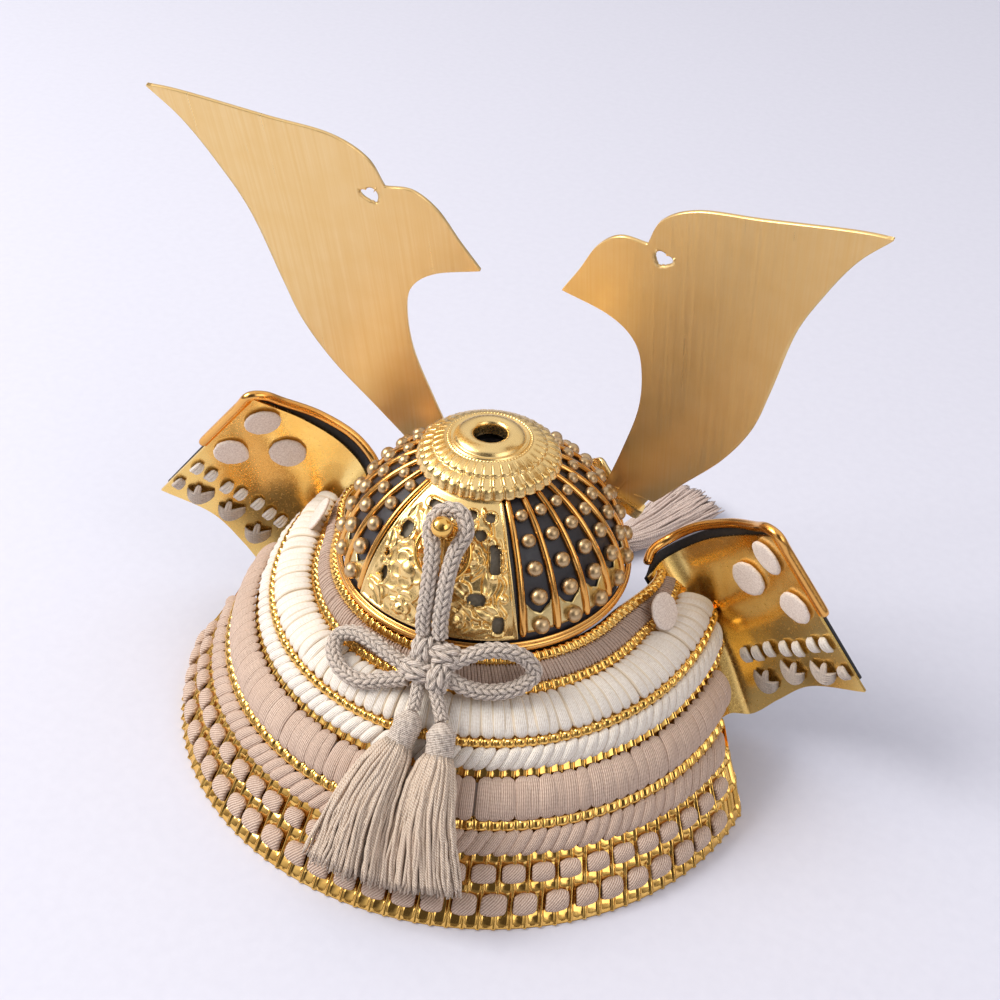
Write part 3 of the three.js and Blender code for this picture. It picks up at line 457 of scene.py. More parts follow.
cam_right, cam_up, cam_back = camera_axes()
camera_data = bpy.data.cameras.new("portrait_camera")
camera_data.sensor_width, camera_data.lens = 36, FOCAL_LENGTH
camera_data.clip_start, camera_data.clip_end = 0.01, 10
camera = bpy.data.objects.new("portrait_camera", camera_data)
bpy.context.scene.collection.objects.link(camera)
pose = np.eye(4)
pose[:3, 0], pose[:3, 1], pose[:3, 2] = cam_right, cam_up, cam_back
pose[:3, 3] = metres(cam_right * 4.23 + cam_up * 13.29 + cam_back * DISTANCE)
camera.matrix_world = mathutils.Matrix(pose.tolist())
bpy.context.scene.camera = camera
print("camera at", pose[:3, 3])

# %% [markdown]
# ## The neck guard's surface
# The cord's left loop lies on the neck guard, so the guard's surface is worked out first. Seen from
# above, each of its eight rows is part of an oval, and between two rows the measures run straight.

# %% The guard's rows
GUARD_ROWS = np.array([
    # height, half width, depth and middle of the oval, flare of its ends, angle of its ends
    [-3.4, 42.2, 41.6, -1.7, 7.0, 110],
    [-10.1, 48.8, 50.8, -6.0, 4.0, 106],
    [-16.5, 61.6, 64.3, -9.0, 1.5, 101],
    [-23.3, 65.1, 66.2, -7.5, 1.5, 99],
    [-32.7, 72.6, 71.4, -3.5, 0.0, 84],
    [-39.3, 77.0, 73.4, -1.0, 0.0, 83.5],
    [-45.3, 80.6, 76.0, 1.2, 0.0, 83],
    [-52.5, 83.9, 79.3, 3.9, 0.0, 82.8],
])


def guard(row, angle, lift=0.0):
    """A point of the guard: x = half width * sin(angle) + flare, y = middle + depth * cos(angle).
    lift goes along the normal, the cross product of a step round and a step down."""
    row, angle, lift = np.broadcast_arrays(np.asarray(row, float), angle, lift)

    def base(r, a):
        k = np.clip(np.floor(r).astype(int), 0, len(GUARD_ROWS) - 2)
        measures = mix(GUARD_ROWS[k], GUARD_ROWS[k + 1], (r - k)[..., None])
        z, wide, deep, middle, flare, _ = np.moveaxis(measures, -1, 0)
        spring = flare * ease(np.abs(a), math.radians(75), math.radians(110)) * np.sign(a)
        return np.stack([wide * np.sin(a) + spring, middle + deep * np.cos(a), z], -1)

    down = base(row + 0.12, angle) - base(row - 0.12, angle)
    turn = base(row, angle + 0.01) - base(row, angle - 0.01)
    return base(row, angle) + unit(np.cross(turn, down)) * lift[..., None]


def end_angle(row):
    """How far round from the back a row runs, in radians."""
    return np.radians(np.interp(row, np.arange(8), GUARD_ROWS[:, 5]))


print("lowest row at the back", guard(7, 0.0))

# %% [markdown]
# ## Silk cord
# The tied cord is a round braid of eight strands. From outside they make columns of slanting
# stitches, and each column leans the other way from its neighbours. Here the tube's radius rises
# over each stitch and dips between them, so that the braid is a shape and not a picture on a rod.

# %% The braid
TAUPE = silk("taupe_cord", (0.24, 0.16, 0.12), (0.66, 0.54, 0.455), (0.96, 0.9, 0.82), 0.42,
             height=0.14)
CHIN = silk("chin_silk", (0.32, 0.22, 0.18), (0.64, 0.5, 0.43), (0.88, 0.77, 0.7), 0.42,
            height=0.14)
CORD_R, STITCH = 2.0, 2.1
STEPS_A_STITCH, SIDES_A_COLUMN = 7, 6


def braid(route, radius=CORD_R, columns=8, stitch=STITCH, depth=0.37):
    """radius * (1 - depth + 1.25 * depth * lobe). lobe is the round top of a slanted stitch, about
    the root of 1 - q^2 with q the place across it, times the round top of its column."""
    total = length_of(route)
    steps = int(total / stitch * STEPS_A_STITCH)
    line = even(route, steps)
    sides = columns * SIDES_A_COLUMN
    s = np.linspace(0, total, steps)[:, None]
    place = (np.arange(sides)[None] + 0.5) / sides * columns
    column = np.floor(place)
    across = 2 * (place - column) - 1
    lean = np.where(column % 2 == 0, 1, -1)
    phase = s / stitch + lean * across * 0.3 + 0.5 * (column % 2)
    q = 2 * (phase - np.floor(phase)) - 1
    lobe = np.sqrt(np.clip(1 - 0.95 * q**2, 0, 1)) * np.sqrt(np.clip(1 - 0.6 * across**2, 0, 1))
    r = radius * (1 - depth + 1.25 * depth * lobe)
    # Painted shade: the braid darkens in the dips between its stitches, where lobe is low.
    painted_shade = 0.95 * (1 - ease(lobe, 0.2, 0.74))
    angle = np.arange(sides) / sides * 2 * np.pi
    section = np.stack([r * np.cos(angle), r * np.sin(angle)], -1)
    around = np.arange(sides + 1)[None] / sides * 2 * np.pi * radius
    slant = np.append(lean, lean[:, :1], 1) * s * 0.75
    uv = (around + slant, s + 0 * around)
    return line, sweep(line, carried_frame(line), section), uv, painted_shade


def free_cord(name, route, solid, finish=TAUPE):
    """A braided cord along a route, in place of its solid. Its length is printed."""
    line, points, uv, painted_shade = braid(spline(route, 600, 0.8))
    piece = skin(name, points, finish, cols_round=True, caps=True, uv=uv, painted_shade=painted_shade,
                 replaces=[solid])
    print(f"{name}: {length_of(line):.1f} mm long")
    return line


# %% [markdown]
# ## Where the cords run
# One long cord hangs over the post, is tied in a knot at the rim and falls in two loops. The left
# loop lies on the neck guard, the right one across the rim. Inside, two chin cords come down from
# the bowl and meet in a knot on the ground in front. Each runs through its solid's own places.

# %% Tied cords and chin cords
HANGER = [
    (-0.5, 42.8, 5.4), (0.1, 41.7, 8.7), (0.1, 39.9, 13.6), (0.6, 36.9, 19.7), (1.6, 33.4, 24.5),
    (3.6, 30.0, 28.1), (2.0, 27.0, 31.5), (-2.6, 26.4, 32.2), (-5.4, 29.0, 29.2),
    (-4.2, 33.0, 24.9), (-3.9, 36.7, 19.9), (-4.1, 39.8, 13.8), (-4.3, 41.7, 8.9),
    (-4.9, 42.8, 5.4),
]
# The left loop is given on the guard: row, millimetres across, millimetres off the surface.
LOOP_ON_GUARD = np.array([
    (0.56, 1.2, 4.6), (0.4, 7.6, 3.9), (0.3, 13.4, 3.6), (0.4, 18.4, 3.6), (0.82, 22.6, 4.0),
    (1.26, 22.8, 4.7), (1.5, 18.6, 4.7), (1.5, 12.8, 4.7), (1.26, 6.8, 4.8), (0.98, 1.2, 5.6),
])
LOOP_RIGHT = [
    (-8.6, 45.6, 0.2), (-12.4, 43.4, 2.4), (-16.4, 41.0, 3.8), (-21.0, 38.9, 3.6),
    (-25.8, 37.2, 1.2), (-28.2, 37.4, -2.2), (-26.0, 40.2, -5.1), (-21.4, 43.4, -6.1),
    (-16.2, 45.9, -5.6), (-12.0, 47.0, -4.2), (-8.4, 46.9, -2.6),
]
CHIN_LEFT = np.array([
    (24, -24, -8), (24, -25, -16), (24, -28, -28), (23.4, -33, -40), (21.5, -41, -49.4),
    (17, -50, -51.9), (11, -57, -51.9), (6.4, -61, -51.2),
], float)
MIRROR = np.array([-1.0, 1.0, 1.0])
BOTH_SIDES = [(np.ones(3), "left"), (MIRROR, "right")]
row, across, off = LOOP_ON_GUARD.T
LOOP_LEFT = guard(row, np.arcsin(across / np.interp(row, np.arange(8), GUARD_ROWS[:, 1])), off)

free_cord("braided_hanger", HANGER, "cord_hanger")
free_cord("braided_loop_left", LOOP_LEFT, "cord_loop_left")
free_cord("braided_loop_right", LOOP_RIGHT, "cord_loop_right")
free_cord("braided_chin_left", CHIN_LEFT, "chin_cord_left", CHIN)
free_cord("braided_chin_right", CHIN_LEFT * MIRROR, "chin_cord_right", CHIN)

# %% [markdown]
# ## Light and ground
# One broad soft light stands to the wearer's left and above. A weaker one fills from the other
# side. The sky of the studio is pale above, dim at the horizon and dark towards the back, where
# the room is unlit, so that polished gold has something dark to mirror.

# %% Studio
world = bpy.data.worlds.new("studio")
world.use_nodes = True
sky = Graph(world.node_tree)
HORIZON, OVERHEAD, UNLIT = (0.12, 0.09, 0.07), (0.96, 0.94, 0.96), (0.03, 0.02, 0.012)
TOWARDS_UNLIT = (-0.2, 0.76, 0.62)
direction = sky.node("ShaderNodeTexCoord").outputs["Generated"]
height = sky.node("ShaderNodeSeparateXYZ", {0: direction}).outputs["Z"]
shade = sky.blend(sky.spread(height, 0, 1, 0.02, 0.45), HORIZON, OVERHEAD)
facing = sky.node("ShaderNodeVectorMath", {0: direction, 1: TOWARDS_UNLIT}, operation="DOT_PRODUCT")
shade = sky.blend(sky.spread(facing.outputs["Value"], 0, 0.94, 0.78, 0.93), shade, UNLIT)
background = world.node_tree.nodes["Background"]
world.node_tree.links.new(shade, background.inputs["Color"])
background.inputs["Strength"].default_value = 0.9
bpy.context.scene.world = world
bpy.context.scene.view_settings.view_transform = "Standard"


def soft_light(name, toward, distance, size, power, colour=(1, 1, 1)):
    """A square area light that faces the helmet from a direction."""
    data = bpy.data.lights.new(name, "AREA")
    data.shape, data.size, data.energy, data.color = "SQUARE", size, power, colour
    back = unit(np.array(toward, float))
    right = unit(np.cross([0, 0, 1.0], back))
    place = np.eye(4)
    place[:3, 0], place[:3, 1], place[:3, 2] = right, np.cross(back, right), back
    place[:3, 3] = metres([0, 0, 20]) + back * distance
    light = bpy.data.objects.new(name, data)
    light.matrix_world = mathutils.Matrix(place.tolist())
    bpy.context.scene.collection.objects.link(light)
    print(name, "at", place[:3, 3].round(2))


soft_light("key", (0.95, 0.35, 0.85), 1.5, 0.8, 23, (1, 0.96, 0.9))
soft_light("fill", (-0.9, 0.5, 0.7), 1.6, 1.0, 4.5, (1, 0.97, 0.95))

pale_ground = Finish("pale_ground", (0.63, 0.63, 0.72), roughness=0.85)
fibre = pale_ground.noise(pale_ground.place(), 300, 4)
share = pale_ground.spread(fibre, 0, 1, 0.3, 0.7)
tint = pale_ground.blend(share, (0.62, 0.63, 0.73), (0.64, 0.65, 0.75))
pale_ground.put_on(tint, bumps=[(fibre, 0.05, 0.2)])
SIDE, GROUND_Z = 2.5, -0.0001
ground_mesh = bpy.data.meshes.new("ground")
corners = [(x * SIDE, y * SIDE, GROUND_Z) for x, y in [(-1, -1), (1, -1), (1, 1), (-1, 1)]]
ground_mesh.from_pydata(corners, [], [(0, 1, 2, 3)])
ground_mesh.materials.append(pale_ground.material)
ground = bpy.data.objects.new("ground", ground_mesh)
bpy.context.scene.collection.objects.link(ground)

# %% [markdown]
# ## Gold in several finishes
# The real metal parts are gold-plated: mirror-bright on the wings and studs, satin on the crown,
# brushed on the horns, coppery on wires. They share one group, which varies tint and polish a
# little and adds fine grain and dents. Each finish gives it its own colours and strengths. The
# brushed one has long streaks of tint and polish over it in place of dents.

# %% Shared grain of plated metal
def build_plating(graph, given):
    """Tint drifts between two golds, and polish varies with a fine grain."""
    broad = graph.noise(given["Place"], 110, 3)
    fine = graph.noise(given["Place"], 1700, 3)
    dents = graph.cells(given["Place"], given["Dents Per Metre"])
    tone = graph.blend(graph.spread(broad, 0, 0.65, 0.35, 0.75), given["Bright"], given["Warm"])
    rough = graph.maths("ADD", given["Roughness"], graph.spread(fine, -0.05, 0.1, 0.3, 0.7))
    return tone, rough, dents, fine


PLATING = shared_group(
    "plating",
    {"Place": (0.0, 0.0, 0.0), "Bright": (0.9, 0.7, 0.4, 1.0), "Warm": (0.7, 0.5, 0.2, 1.0),
     "Roughness": 0.3, "Dents Per Metre": 700.0},
    {"Colour": "Color", "Roughness": "Float", "Dents": "Float", "Grain": "Float"},
    build_plating,
)


def gold(name, bright, warm, rough, dent=0.1, grain=0.15, apart=1.4, brushed=None, metallic=1.0):
    """Gold plate whose dents are apart millimetres from each other. A brushed one has streaks
    as fine as brushed says, per metre along x, y and z."""
    look = Finish(name, bright, metallic=metallic, roughness=rough)
    plating = look.node("ShaderNodeGroup", {
        "Place": look.place(), "Bright": (*bright, 1), "Warm": (*warm, 1), "Roughness": rough,
        "Dents Per Metre": 1000 / apart,
    }, node_tree=PLATING)
    colour, roughness = plating.outputs["Colour"], plating.outputs["Roughness"]
    bumps = [(plating.outputs["Dents"], dent, 0.15), (plating.outputs["Grain"], grain, 0.03)]
    if brushed is not None:
        streaks = look.noise(look.place(scale=brushed), 1.0, 3, 0.6)
        colour = look.blend(look.spread(streaks, 0, 1, 0.25, 0.75), colour, warm)
        roughness = look.spread(streaks, rough - 0.07, rough + 0.09, 0.3, 0.7)
    return look.put_on(colour, roughness, bumps)


POLISHED = gold("polished_gold", (0.96, 0.6, 0.17), (0.88, 0.48, 0.1), 0.1, 0.02, 0.08)
MIRROR_GOLD = gold("mirror_gold", (0.98, 0.69, 0.24), (0.92, 0.56, 0.14), 0.2, 0.03, 0.06, 4.0)
SATIN = gold("satin_gold", (0.94, 0.69, 0.31), (0.86, 0.57, 0.2), 0.26, 0.04, 0.15, 1.4)
CARVED = gold("carved_gold", (0.95, 0.69, 0.3), (0.84, 0.54, 0.18), 0.27, 0.03, 0.12, 1.2)
COPPERY = gold("coppery_gold", (0.86, 0.46, 0.13), (0.76, 0.36, 0.08), 0.17, 0.02, 0.06)
BRUSHED = gold("brushed_gold", (0.97, 0.71, 0.34), (0.9, 0.6, 0.23), 0.34, 0.0, 0.0,
               brushed=(1300, 0, 14), metallic=0.75)
PEARL = gold("rivet_champagne", (0.6, 0.43, 0.24), (0.46, 0.31, 0.16), 0.36, 0.02, 0.2)
HAMMERED = gold("hammered_gold", (0.72, 0.56, 0.26), (0.6, 0.44, 0.17), 0.3, 0.4, 0.2, 1.1)

# %% Black lacquer, and a grey sheet behind the pierced plate, painted as the lit black shell
lacquer = Finish("black_lacquer", (0.016, 0.015, 0.02), roughness=0.45, Coat_Weight=0.04,
                 Coat_Roughness=0.3)
grain = lacquer.noise(lacquer.place(), 900, 4)
share = lacquer.spread(grain, 0, 1, 0.3, 0.7)
tint = lacquer.blend(share, (0.011, 0.011, 0.015), (0.03, 0.027, 0.036))
LACQUER = lacquer.put_on(tint, lacquer.spread(grain, 0.38, 0.56, 0.3, 0.7), [(grain, 0.3, 0.04)])
# Painted light: the black shell seen through the piercings is painted as a grey sheet, as it looks
# when lit.
lit_shell = Finish("painted_lit_shell", (0.2, 0.18, 0.14), roughness=0.7)
grain = lit_shell.noise(lit_shell.place(), 1200, 3)
tint = lit_shell.blend(lit_shell.spread(grain, 0, 1, 0.3, 0.7), (0.16, 0.14, 0.11), (0.26, 0.23, 0.18))
LIT_SHELL_PAINT = lit_shell.put_on(tint, bumps=[(grain, 0.3, 0.05)])

# %% [markdown]
# ## The bowl: a riveted dome
# A real bowl is made of many black plates riveted side by side. Between them stand gold ribs, up
# each panel runs a row of pearl-like rivets, and at the foot of each panel a small hammered plate
# follows the ribs up in two points. The shell is a profile turned about the axis. The rest are
# small grids repeated round it: rods carried up the dome, turned balls and curved plates.

# %% A dome to build on
DOME_R, DOME_DROP = 38.2, -4.5
PANEL = 2 * np.pi / 25
PANELS = np.arange(3, 23)  # panels with rivets; the back plate covers the others
RIBS = np.arange(2, 23) + 0.5  # a rib on either side of each


def dome(angle, up, radius=DOME_R):
    """A point of the sphere about a centre 4.5 mm below the rim: r = sqrt(R^2 - (up + 4.5)^2)."""
    r = np.sqrt(np.maximum(radius**2 - (np.asarray(up, float) - DOME_DROP) ** 2, 0))
    angle, up, r = np.broadcast_arrays(angle, up, r)
    return np.stack([r * np.sin(angle), r * np.cos(angle), up], -1)


def dome_normal(p):
    """Straight away from the dome's centre."""
    return unit(p - np.array([0, 0, DOME_DROP]))


def standing(local, place, out, up=(0, 0, 1.0)):
    """Local points with z along out and y towards up, set on one or more places."""
    side = unit(np.cross(up, out))
    top = np.cross(out, side)
    return place + local[..., 0:1] * side + local[..., 1:2] * top + local[..., 2:3] * out


# %% Shell
lean_in = np.linspace(math.asin(4.3 / DOME_R), math.acos(4.7 / DOME_R), 40)
arch = lambda r: [(r * math.sin(t), DOME_DROP + r * math.cos(t)) for t in lean_in]
shell_profile = arch(DOME_R) + [(37.4, -2), (37.0, -5.2), (35.8, -5.2), (36.2, -2)]
shell_profile += arch(DOME_R - 1.2)[::-1]
skin("bowl_shell", turned(shell_profile, full_turn(200)), LACQUER, rows_round=True,
     cols_round=True, replaces=["bowl"], sharp=40)

# %% Ribs
rib_ups = np.linspace(2.0, 30.8, 44)
rib_line = dome(RIBS[:, None] * PANEL, rib_ups[None], DOME_R + 0.2)
rib_section = np.array([(-1.0, -0.4)] + [(-math.cos(t), 0.3 + 1.05 * math.sin(t))
                        for t in np.linspace(0, math.pi, 13)] + [(1.0, -0.4)])
point = np.sqrt(np.clip(1 - ((2.0 - rib_ups) / 2.4 + 1) ** 3 * (rib_ups < 4.4), 0.03, 1))
slimmer = mix(1.05, 0.86, (rib_ups - 2) / 29)[:, None, None]
rib_width = np.stack([point, np.sqrt(point)], -1)[:, None] * slimmer
skin("bowl_ribs", sweep(rib_line, dome_normal(rib_line), rib_section * rib_width), COPPERY,
     cols_round=True, caps=True)

# %% Rivets
RIVETS = np.array([(4.7, 2.3), (11.8, 2.25), (17.8, 2.1), (23.0, 1.9), (27.1, 1.68)])
tilt = np.linspace(-0.65, math.pi / 2 - 0.12, 9)
ball = turned(np.stack([np.cos(tilt), 0.5 + np.sin(tilt) * 0.92], -1), full_turn(14))
ball = ball.swapaxes(0, 1)[:, ::-1]
spots = dome(PANELS[:, None] * PANEL, RIVETS[None, :, 0]).reshape(-1, 1, 1, 3)
sizes = np.tile(RIVETS[:, 1], len(PANELS)).reshape(-1, 1, 1, 1)
skin("bowl_rivets", standing(ball[None] * sizes, spots, dome_normal(spots)), PEARL,
     cols_round=True, caps=True)

# %% Panel feet
s, v = np.meshgrid(np.linspace(-1, 1, 21), np.linspace(0, 1, 9), indexing="ij")
foot_top = 7.9 + 2.8 * np.abs(s) ** 1.5 + 0.12 * np.sin(9 * s)
foot_angle = PANELS[:, None, None] * PANEL + s * PANEL * 0.38
feet = dome(foot_angle, mix(3.2, foot_top, v), DOME_R + 0.65 + 0.1 * np.cos(7 * s) * v)
skin("panel_feet", feet, HAMMERED, away=[0, 0, 0], thick=0.45, sharp=50)

# %% Rim ring
rim_profile = [(38.3, -0.4), (38.15, 0.25), (38.3, 0.9), (38.75, 1.15), (39.1, 0.85), (39.2, 0.62),
               (39.35, 0.62), (39.75, 0.4), (40.0, -0.2), (39.9, -0.95), (39.5, -1.4),
               (38.9, -1.5), (38.5, -1.1)]
rim_profile = spline(rim_profile + rim_profile[:1], 40)[:-1]
skin("rim_band", turned(rim_profile, full_turn(260)), COPPERY, rows_round=True, cols_round=True,
     replaces=["rim_ring"])

# %% [markdown]
# ## The crown ornament
# A cast flower closes the bowl: a smooth collar round the hole, a fine corded ring, then two tiers
# of thirty-eight petals, each with raised edges and a rounded tip, and a lip that folds down. It is
# one profile turned about the axis, moved up and down and in and out by the petals.

# %% Crown
PETALS = 38
# Numbers of the profile's parts. The collar is 0, and the underside 6.
CORDED, UPPER, STEP, LOWER, LIP = range(1, 6)
parts = [
    spline([(4.3, 35.2), (4.25, 37.0), (4.5, 38.5), (5.6, 39.1), (7.3, 38.9), (8.7, 38.2),
            (9.3, 37.4)], 30),
    spline([(9.3, 37.4), (9.5, 37.3), (10.1, 37.55), (10.35, 37.3), (10.5, 37.15), (10.9, 37.4),
            (11.3, 37.1)], 22),
    np.stack([np.linspace(11.35, 14.85, 13), mix(37.1, 35.75, np.linspace(0, 1, 13) ** 1.3)], -1),
    np.array([(14.9, 35.5), (14.92, 35.1)]),
    np.stack([np.linspace(15.0, 18.15, 14), mix(34.95, 33.45, np.linspace(0, 1, 14) ** 1.3)], -1),
    np.array([(18.4, 33.1), (18.6, 32.4), (18.85, 31.7), (19.05, 31.1), (19.0, 30.85),
              (18.5, 30.9)]),
    spline([(18.2, 31.0), (17.0, 31.5), (12.0, 33.2), (4.9, 35.1)], 10),
]
part_of = np.concatenate([np.full(len(part), k) for k, part in enumerate(parts)])
crown_profile = np.concatenate(parts)
around = full_turn(PETALS * 14)
cell = 2 * np.abs((around * PETALS / (2 * np.pi)) % 1 - 0.5)[:, None]  # 1 at a petal's middle
from_edge = 1 - cell
r, z = crown_profile.T[:, None]
edge_rim = np.exp(-(((cell - 0.22) / 0.13) ** 2)) - 1.3 * np.exp(-((cell / 0.1) ** 2))
tier_1 = (part_of == UPPER) * ease(r, 11.4, 12.2)
tier_2 = (part_of == LOWER) * 1.0
lip = (part_of == LIP) * 1.0
height = 0.2 * edge_rim * (0.6 * tier_1 + 1.15 * tier_2) - 0.25 * (cell < 0.12) * lip * (r < 19)
cord_ring = np.exp(-(((r - 10.9) / 0.22) ** 2)) * (part_of == CORDED) * 0.13
cord_ring = cord_ring * np.cos(around * 2 * PETALS)[:, None]
tuck = 0.95 * (from_edge**2.5)
inwards = 0.6 * tuck * (ease(r, 13.4, 14.85) * (part_of == UPPER) + (part_of == STEP))
inwards += 1.1 * tuck * (ease(r, 16.9, 18.1) * (part_of == LOWER)) + 0.75 * tuck * lip
crown = turned(crown_profile, around)
out = np.stack([np.sin(around), np.cos(around), 0 * around], -1)[:, None]
crown += np.array([0, 0, 1.0]) * (height + cord_ring)[..., None] - out * inwards[..., None]
skin("crown_petals", crown, SATIN, rows_round=True, cols_round=True, replaces=["crown_ornament"])

# %% [markdown]
# ## The pierced back plate
# The middle of the back carries a cast plate of peonies, leaves and curling stems, with holes
# through to the black shell. It is a sheet on the dome whose height is the sum of those shapes.
# Faces inside a hole are left out, and the points round a hole are moved onto its edge.

# %% Places on the plate
HALF, TOP_HALF = math.radians(33.8), math.radians(30.8)
side, upward = np.meshgrid(np.linspace(-1, 1, 261), np.linspace(0, 1, 171), indexing="ij")
plate_angle = side * mix(HALF, TOP_HALF, upward)
plate_up = mix(2.4, 30.9, upward)
PLATE_R, LIT_SHELL_R = 39.3, 38.5


def local(degrees, up):
    """Millimetres across and up the plate from a place on it."""
    rise = np.arcsin((plate_up - DOME_DROP) / PLATE_R) - np.arcsin((up - DOME_DROP) / PLATE_R)
    ring_r = np.sqrt(PLATE_R**2 - (plate_up - DOME_DROP) ** 2)
    return (plate_angle - math.radians(degrees)) * ring_r, PLATE_R * rise


PEONY_RINGS = ((1.0, 6, 0.0), (0.6, 5, 0.45))  # share of the size, petals, level


def peony(degrees, up, size, turn):
    """Rings of cupped petals, each laid over the one before: level + 0.25 + 0.45 * d^3 inside a
    disc of radius 1, where d is the distance from the petal's middle."""
    x, y = local(degrees, up)
    height = np.zeros_like(x)
    for spread_out, count, level in PEONY_RINGS:
        for k in range(count):
            a = turn + 2 * np.pi * (k + 0.5 * (count % 2)) / count
            reach = size * spread_out * 0.66
            wide = size * spread_out * 0.5
            d = np.hypot(x - reach * math.cos(a), y - reach * math.sin(a)) / wide
            cup = level + 0.25 + 0.45 * np.minimum(d, 1) ** 3
            height = mix(height, cup, 1 - ease(d, 0.93, 1.05))
    d = np.hypot(x, y) / size
    return np.maximum(height, (1.5 - 6 * d**2) * (d < 0.3))


def leaf(degrees, up, long, wide, turn):
    """A pointed leaf: |across| < wide * sin(pi * along)^0.8, with a groove up its middle and
    slanting veins."""
    x, y = local(degrees, up)
    c, s = math.cos(math.radians(turn)), math.sin(math.radians(turn))
    along = (x * c + y * s) / long + 0.5
    off = (-x * s + y * c) - 0.35 * wide * np.sin(np.pi * np.clip(along, 0, 1))
    width = wide * np.clip(np.sin(np.pi * np.clip(along, 0, 1)), 0, 1) ** 0.8 + 1e-6
    inside = (np.abs(along - 0.5) < 0.5) * (1 - ease(np.abs(off) / width, 0.8, 1.05))
    veins = 0.07 * np.sin(16 * along - 4 * np.abs(off) / wide)
    return inside * (0.75 - 0.3 * np.exp(-((off / (0.12 * wide + 0.08)) ** 2)) + veins
                     + 0.2 * np.abs(off) / width)


def stem(points, half_width=0.5):
    """A round ridge along a curve through places (degrees, up)."""
    curve = spline(points, 40)
    nearest = np.full(plate_angle.shape, 9.0)
    for degrees, up in curve:
        x, y = local(degrees, up)
        nearest = np.minimum(nearest, x**2 + y**2)
    return 0.7 * np.sqrt(np.clip(1 - nearest / half_width**2, 0, 1))


# %% Relief
PEONIES = [
    # degrees round, height, radius and turn
    (13.5, 15.4, 7.2, 0.2), (13.0, 5.8, 4.6, 0.9), (-14.5, 21.0, 4.0, 0.1), (-9.5, 7.3, 4.4, 0.5),
    (4.0, 26.5, 3.6, 0.4),
]
relief = np.zeros(plate_angle.shape)
for place in PEONIES:
    relief = np.maximum(relief, peony(*place))
LEAVES = [
    # degrees round, height, length, half width and turn
    (15, 25.4, 7, 1.5, 70), (21.5, 21.6, 6, 1.4, 120), (27.5, 13.5, 6, 1.3, 100),
    (26.5, 6.0, 7, 1.6, 40), (3.5, 18.5, 6, 1.3, 80), (-5.5, 17.5, 7, 1.6, 100),
    (-10.5, 14.0, 6, 1.5, 35), (-21.5, 16.5, 8, 1.5, 95), (-22.0, 9.0, 7, 1.6, 30),
    (-17.5, 4.6, 7, 1.6, 165), (-3.0, 5.5, 6, 1.3, 130), (-21.0, 23.5, 6, 1.3, 60),
    (-7.5, 25.6, 7, 1.5, 140), (-28.5, 20.5, 5, 1.2, 95), (27.0, 24.5, 7, 1.4, 100),
    (18.6, 24.6, 6, 1.4, 50), (28.0, 18.8, 6, 1.3, 75), (9.5, 23.4, 5, 1.2, 105),
]
for degrees, up, long, wide, turn in LEAVES:
    relief = np.maximum(relief, leaf(degrees, up, 1.2 * long, 1.5 * wide, turn))
STEMS = [
    [(2, 3.5), (0, 9), (4, 14), (1, 20), (5, 25)], [(19, 12), (24, 14.5), (24, 20), (19, 25)],
    [(-2, 4), (-6, 10), (-2, 15), (-8, 20), (-4, 27)], [(-12, 11), (-19, 8), (-24, 12), (-22, 18)],
    [(-15, 17), (-21, 20), (-24, 26), (-18, 29)], [(28, 3.5), (24, 9), (18, 9.5), (15, 11)],
    [(-28, 4), (-24, 4), (-20, 7), (-24, 10)], [(12, 20), (16, 21), (18, 24), (14, 28)],
    [(-29, 9), (-26, 12), (-29, 16), (-25, 19)], [(6, 4), (12, 3.4), (18, 3.2), (24, 4)],
]
for places in STEMS:
    relief = np.maximum(relief, stem(places))
for _ in range(2):
    for axis in (0, 1):
        relief = (np.roll(relief, 1, axis) + 2 * relief + np.roll(relief, -1, axis)) / 4
x, y = local(-28.3, 12.8)
relief = np.maximum(relief, 1.25 * np.sqrt(np.clip(1 - (x**2 + y**2) / 1.7, 0, 1)))

# %% Piercings
PIERCINGS = [
    # degrees round, height, half width, half height and roundness
    (22.8, 22.4, 1.25, 1.5, 3), (26.3, 16.5, 0.6, 0.6, 2), (24.0, 11.8, 0.75, 1.6, 2),
    (14.7, 28.2, 1.7, 0.8, 3), (-10.8, 28.2, 0.9, 0.9, 2), (-22.7, 28.0, 0.95, 0.95, 2),
    (-17.5, 25.2, 1.0, 1.0, 2), (-25.0, 21.0, 0.95, 2.6, 5), (-17.4, 12.6, 1.6, 1.1, 3),
    (-26.3, 6.6, 1.1, 1.6, 3), (-4.5, 13.4, 0.8, 1.2, 3), (6.5, 21.5, 0.8, 0.9, 2),
]
gap = np.full(plate_angle.shape, 9.0)
for degrees, up, wide, tall, square in PIERCINGS:
    x, y = local(degrees, up)
    round_about = (np.abs(x / wide) ** square + np.abs(y / tall) ** square) ** (1 / square)
    gap = np.minimum(gap, (round_about - 1.4) * min(wide, tall))
frame_edge = np.minimum((1 - np.abs(side)) * 20, np.minimum(upward, 1 - upward) * 29)
height = 1.3 * relief * ease(frame_edge, 0.5, 1.4) * ease(gap, -0.1, 0.35)
height += 0.45 * (1 - ease(frame_edge, 0.45, 0.9)) + 0.42 * (1 - ease(gap, 0.35, 0.75))

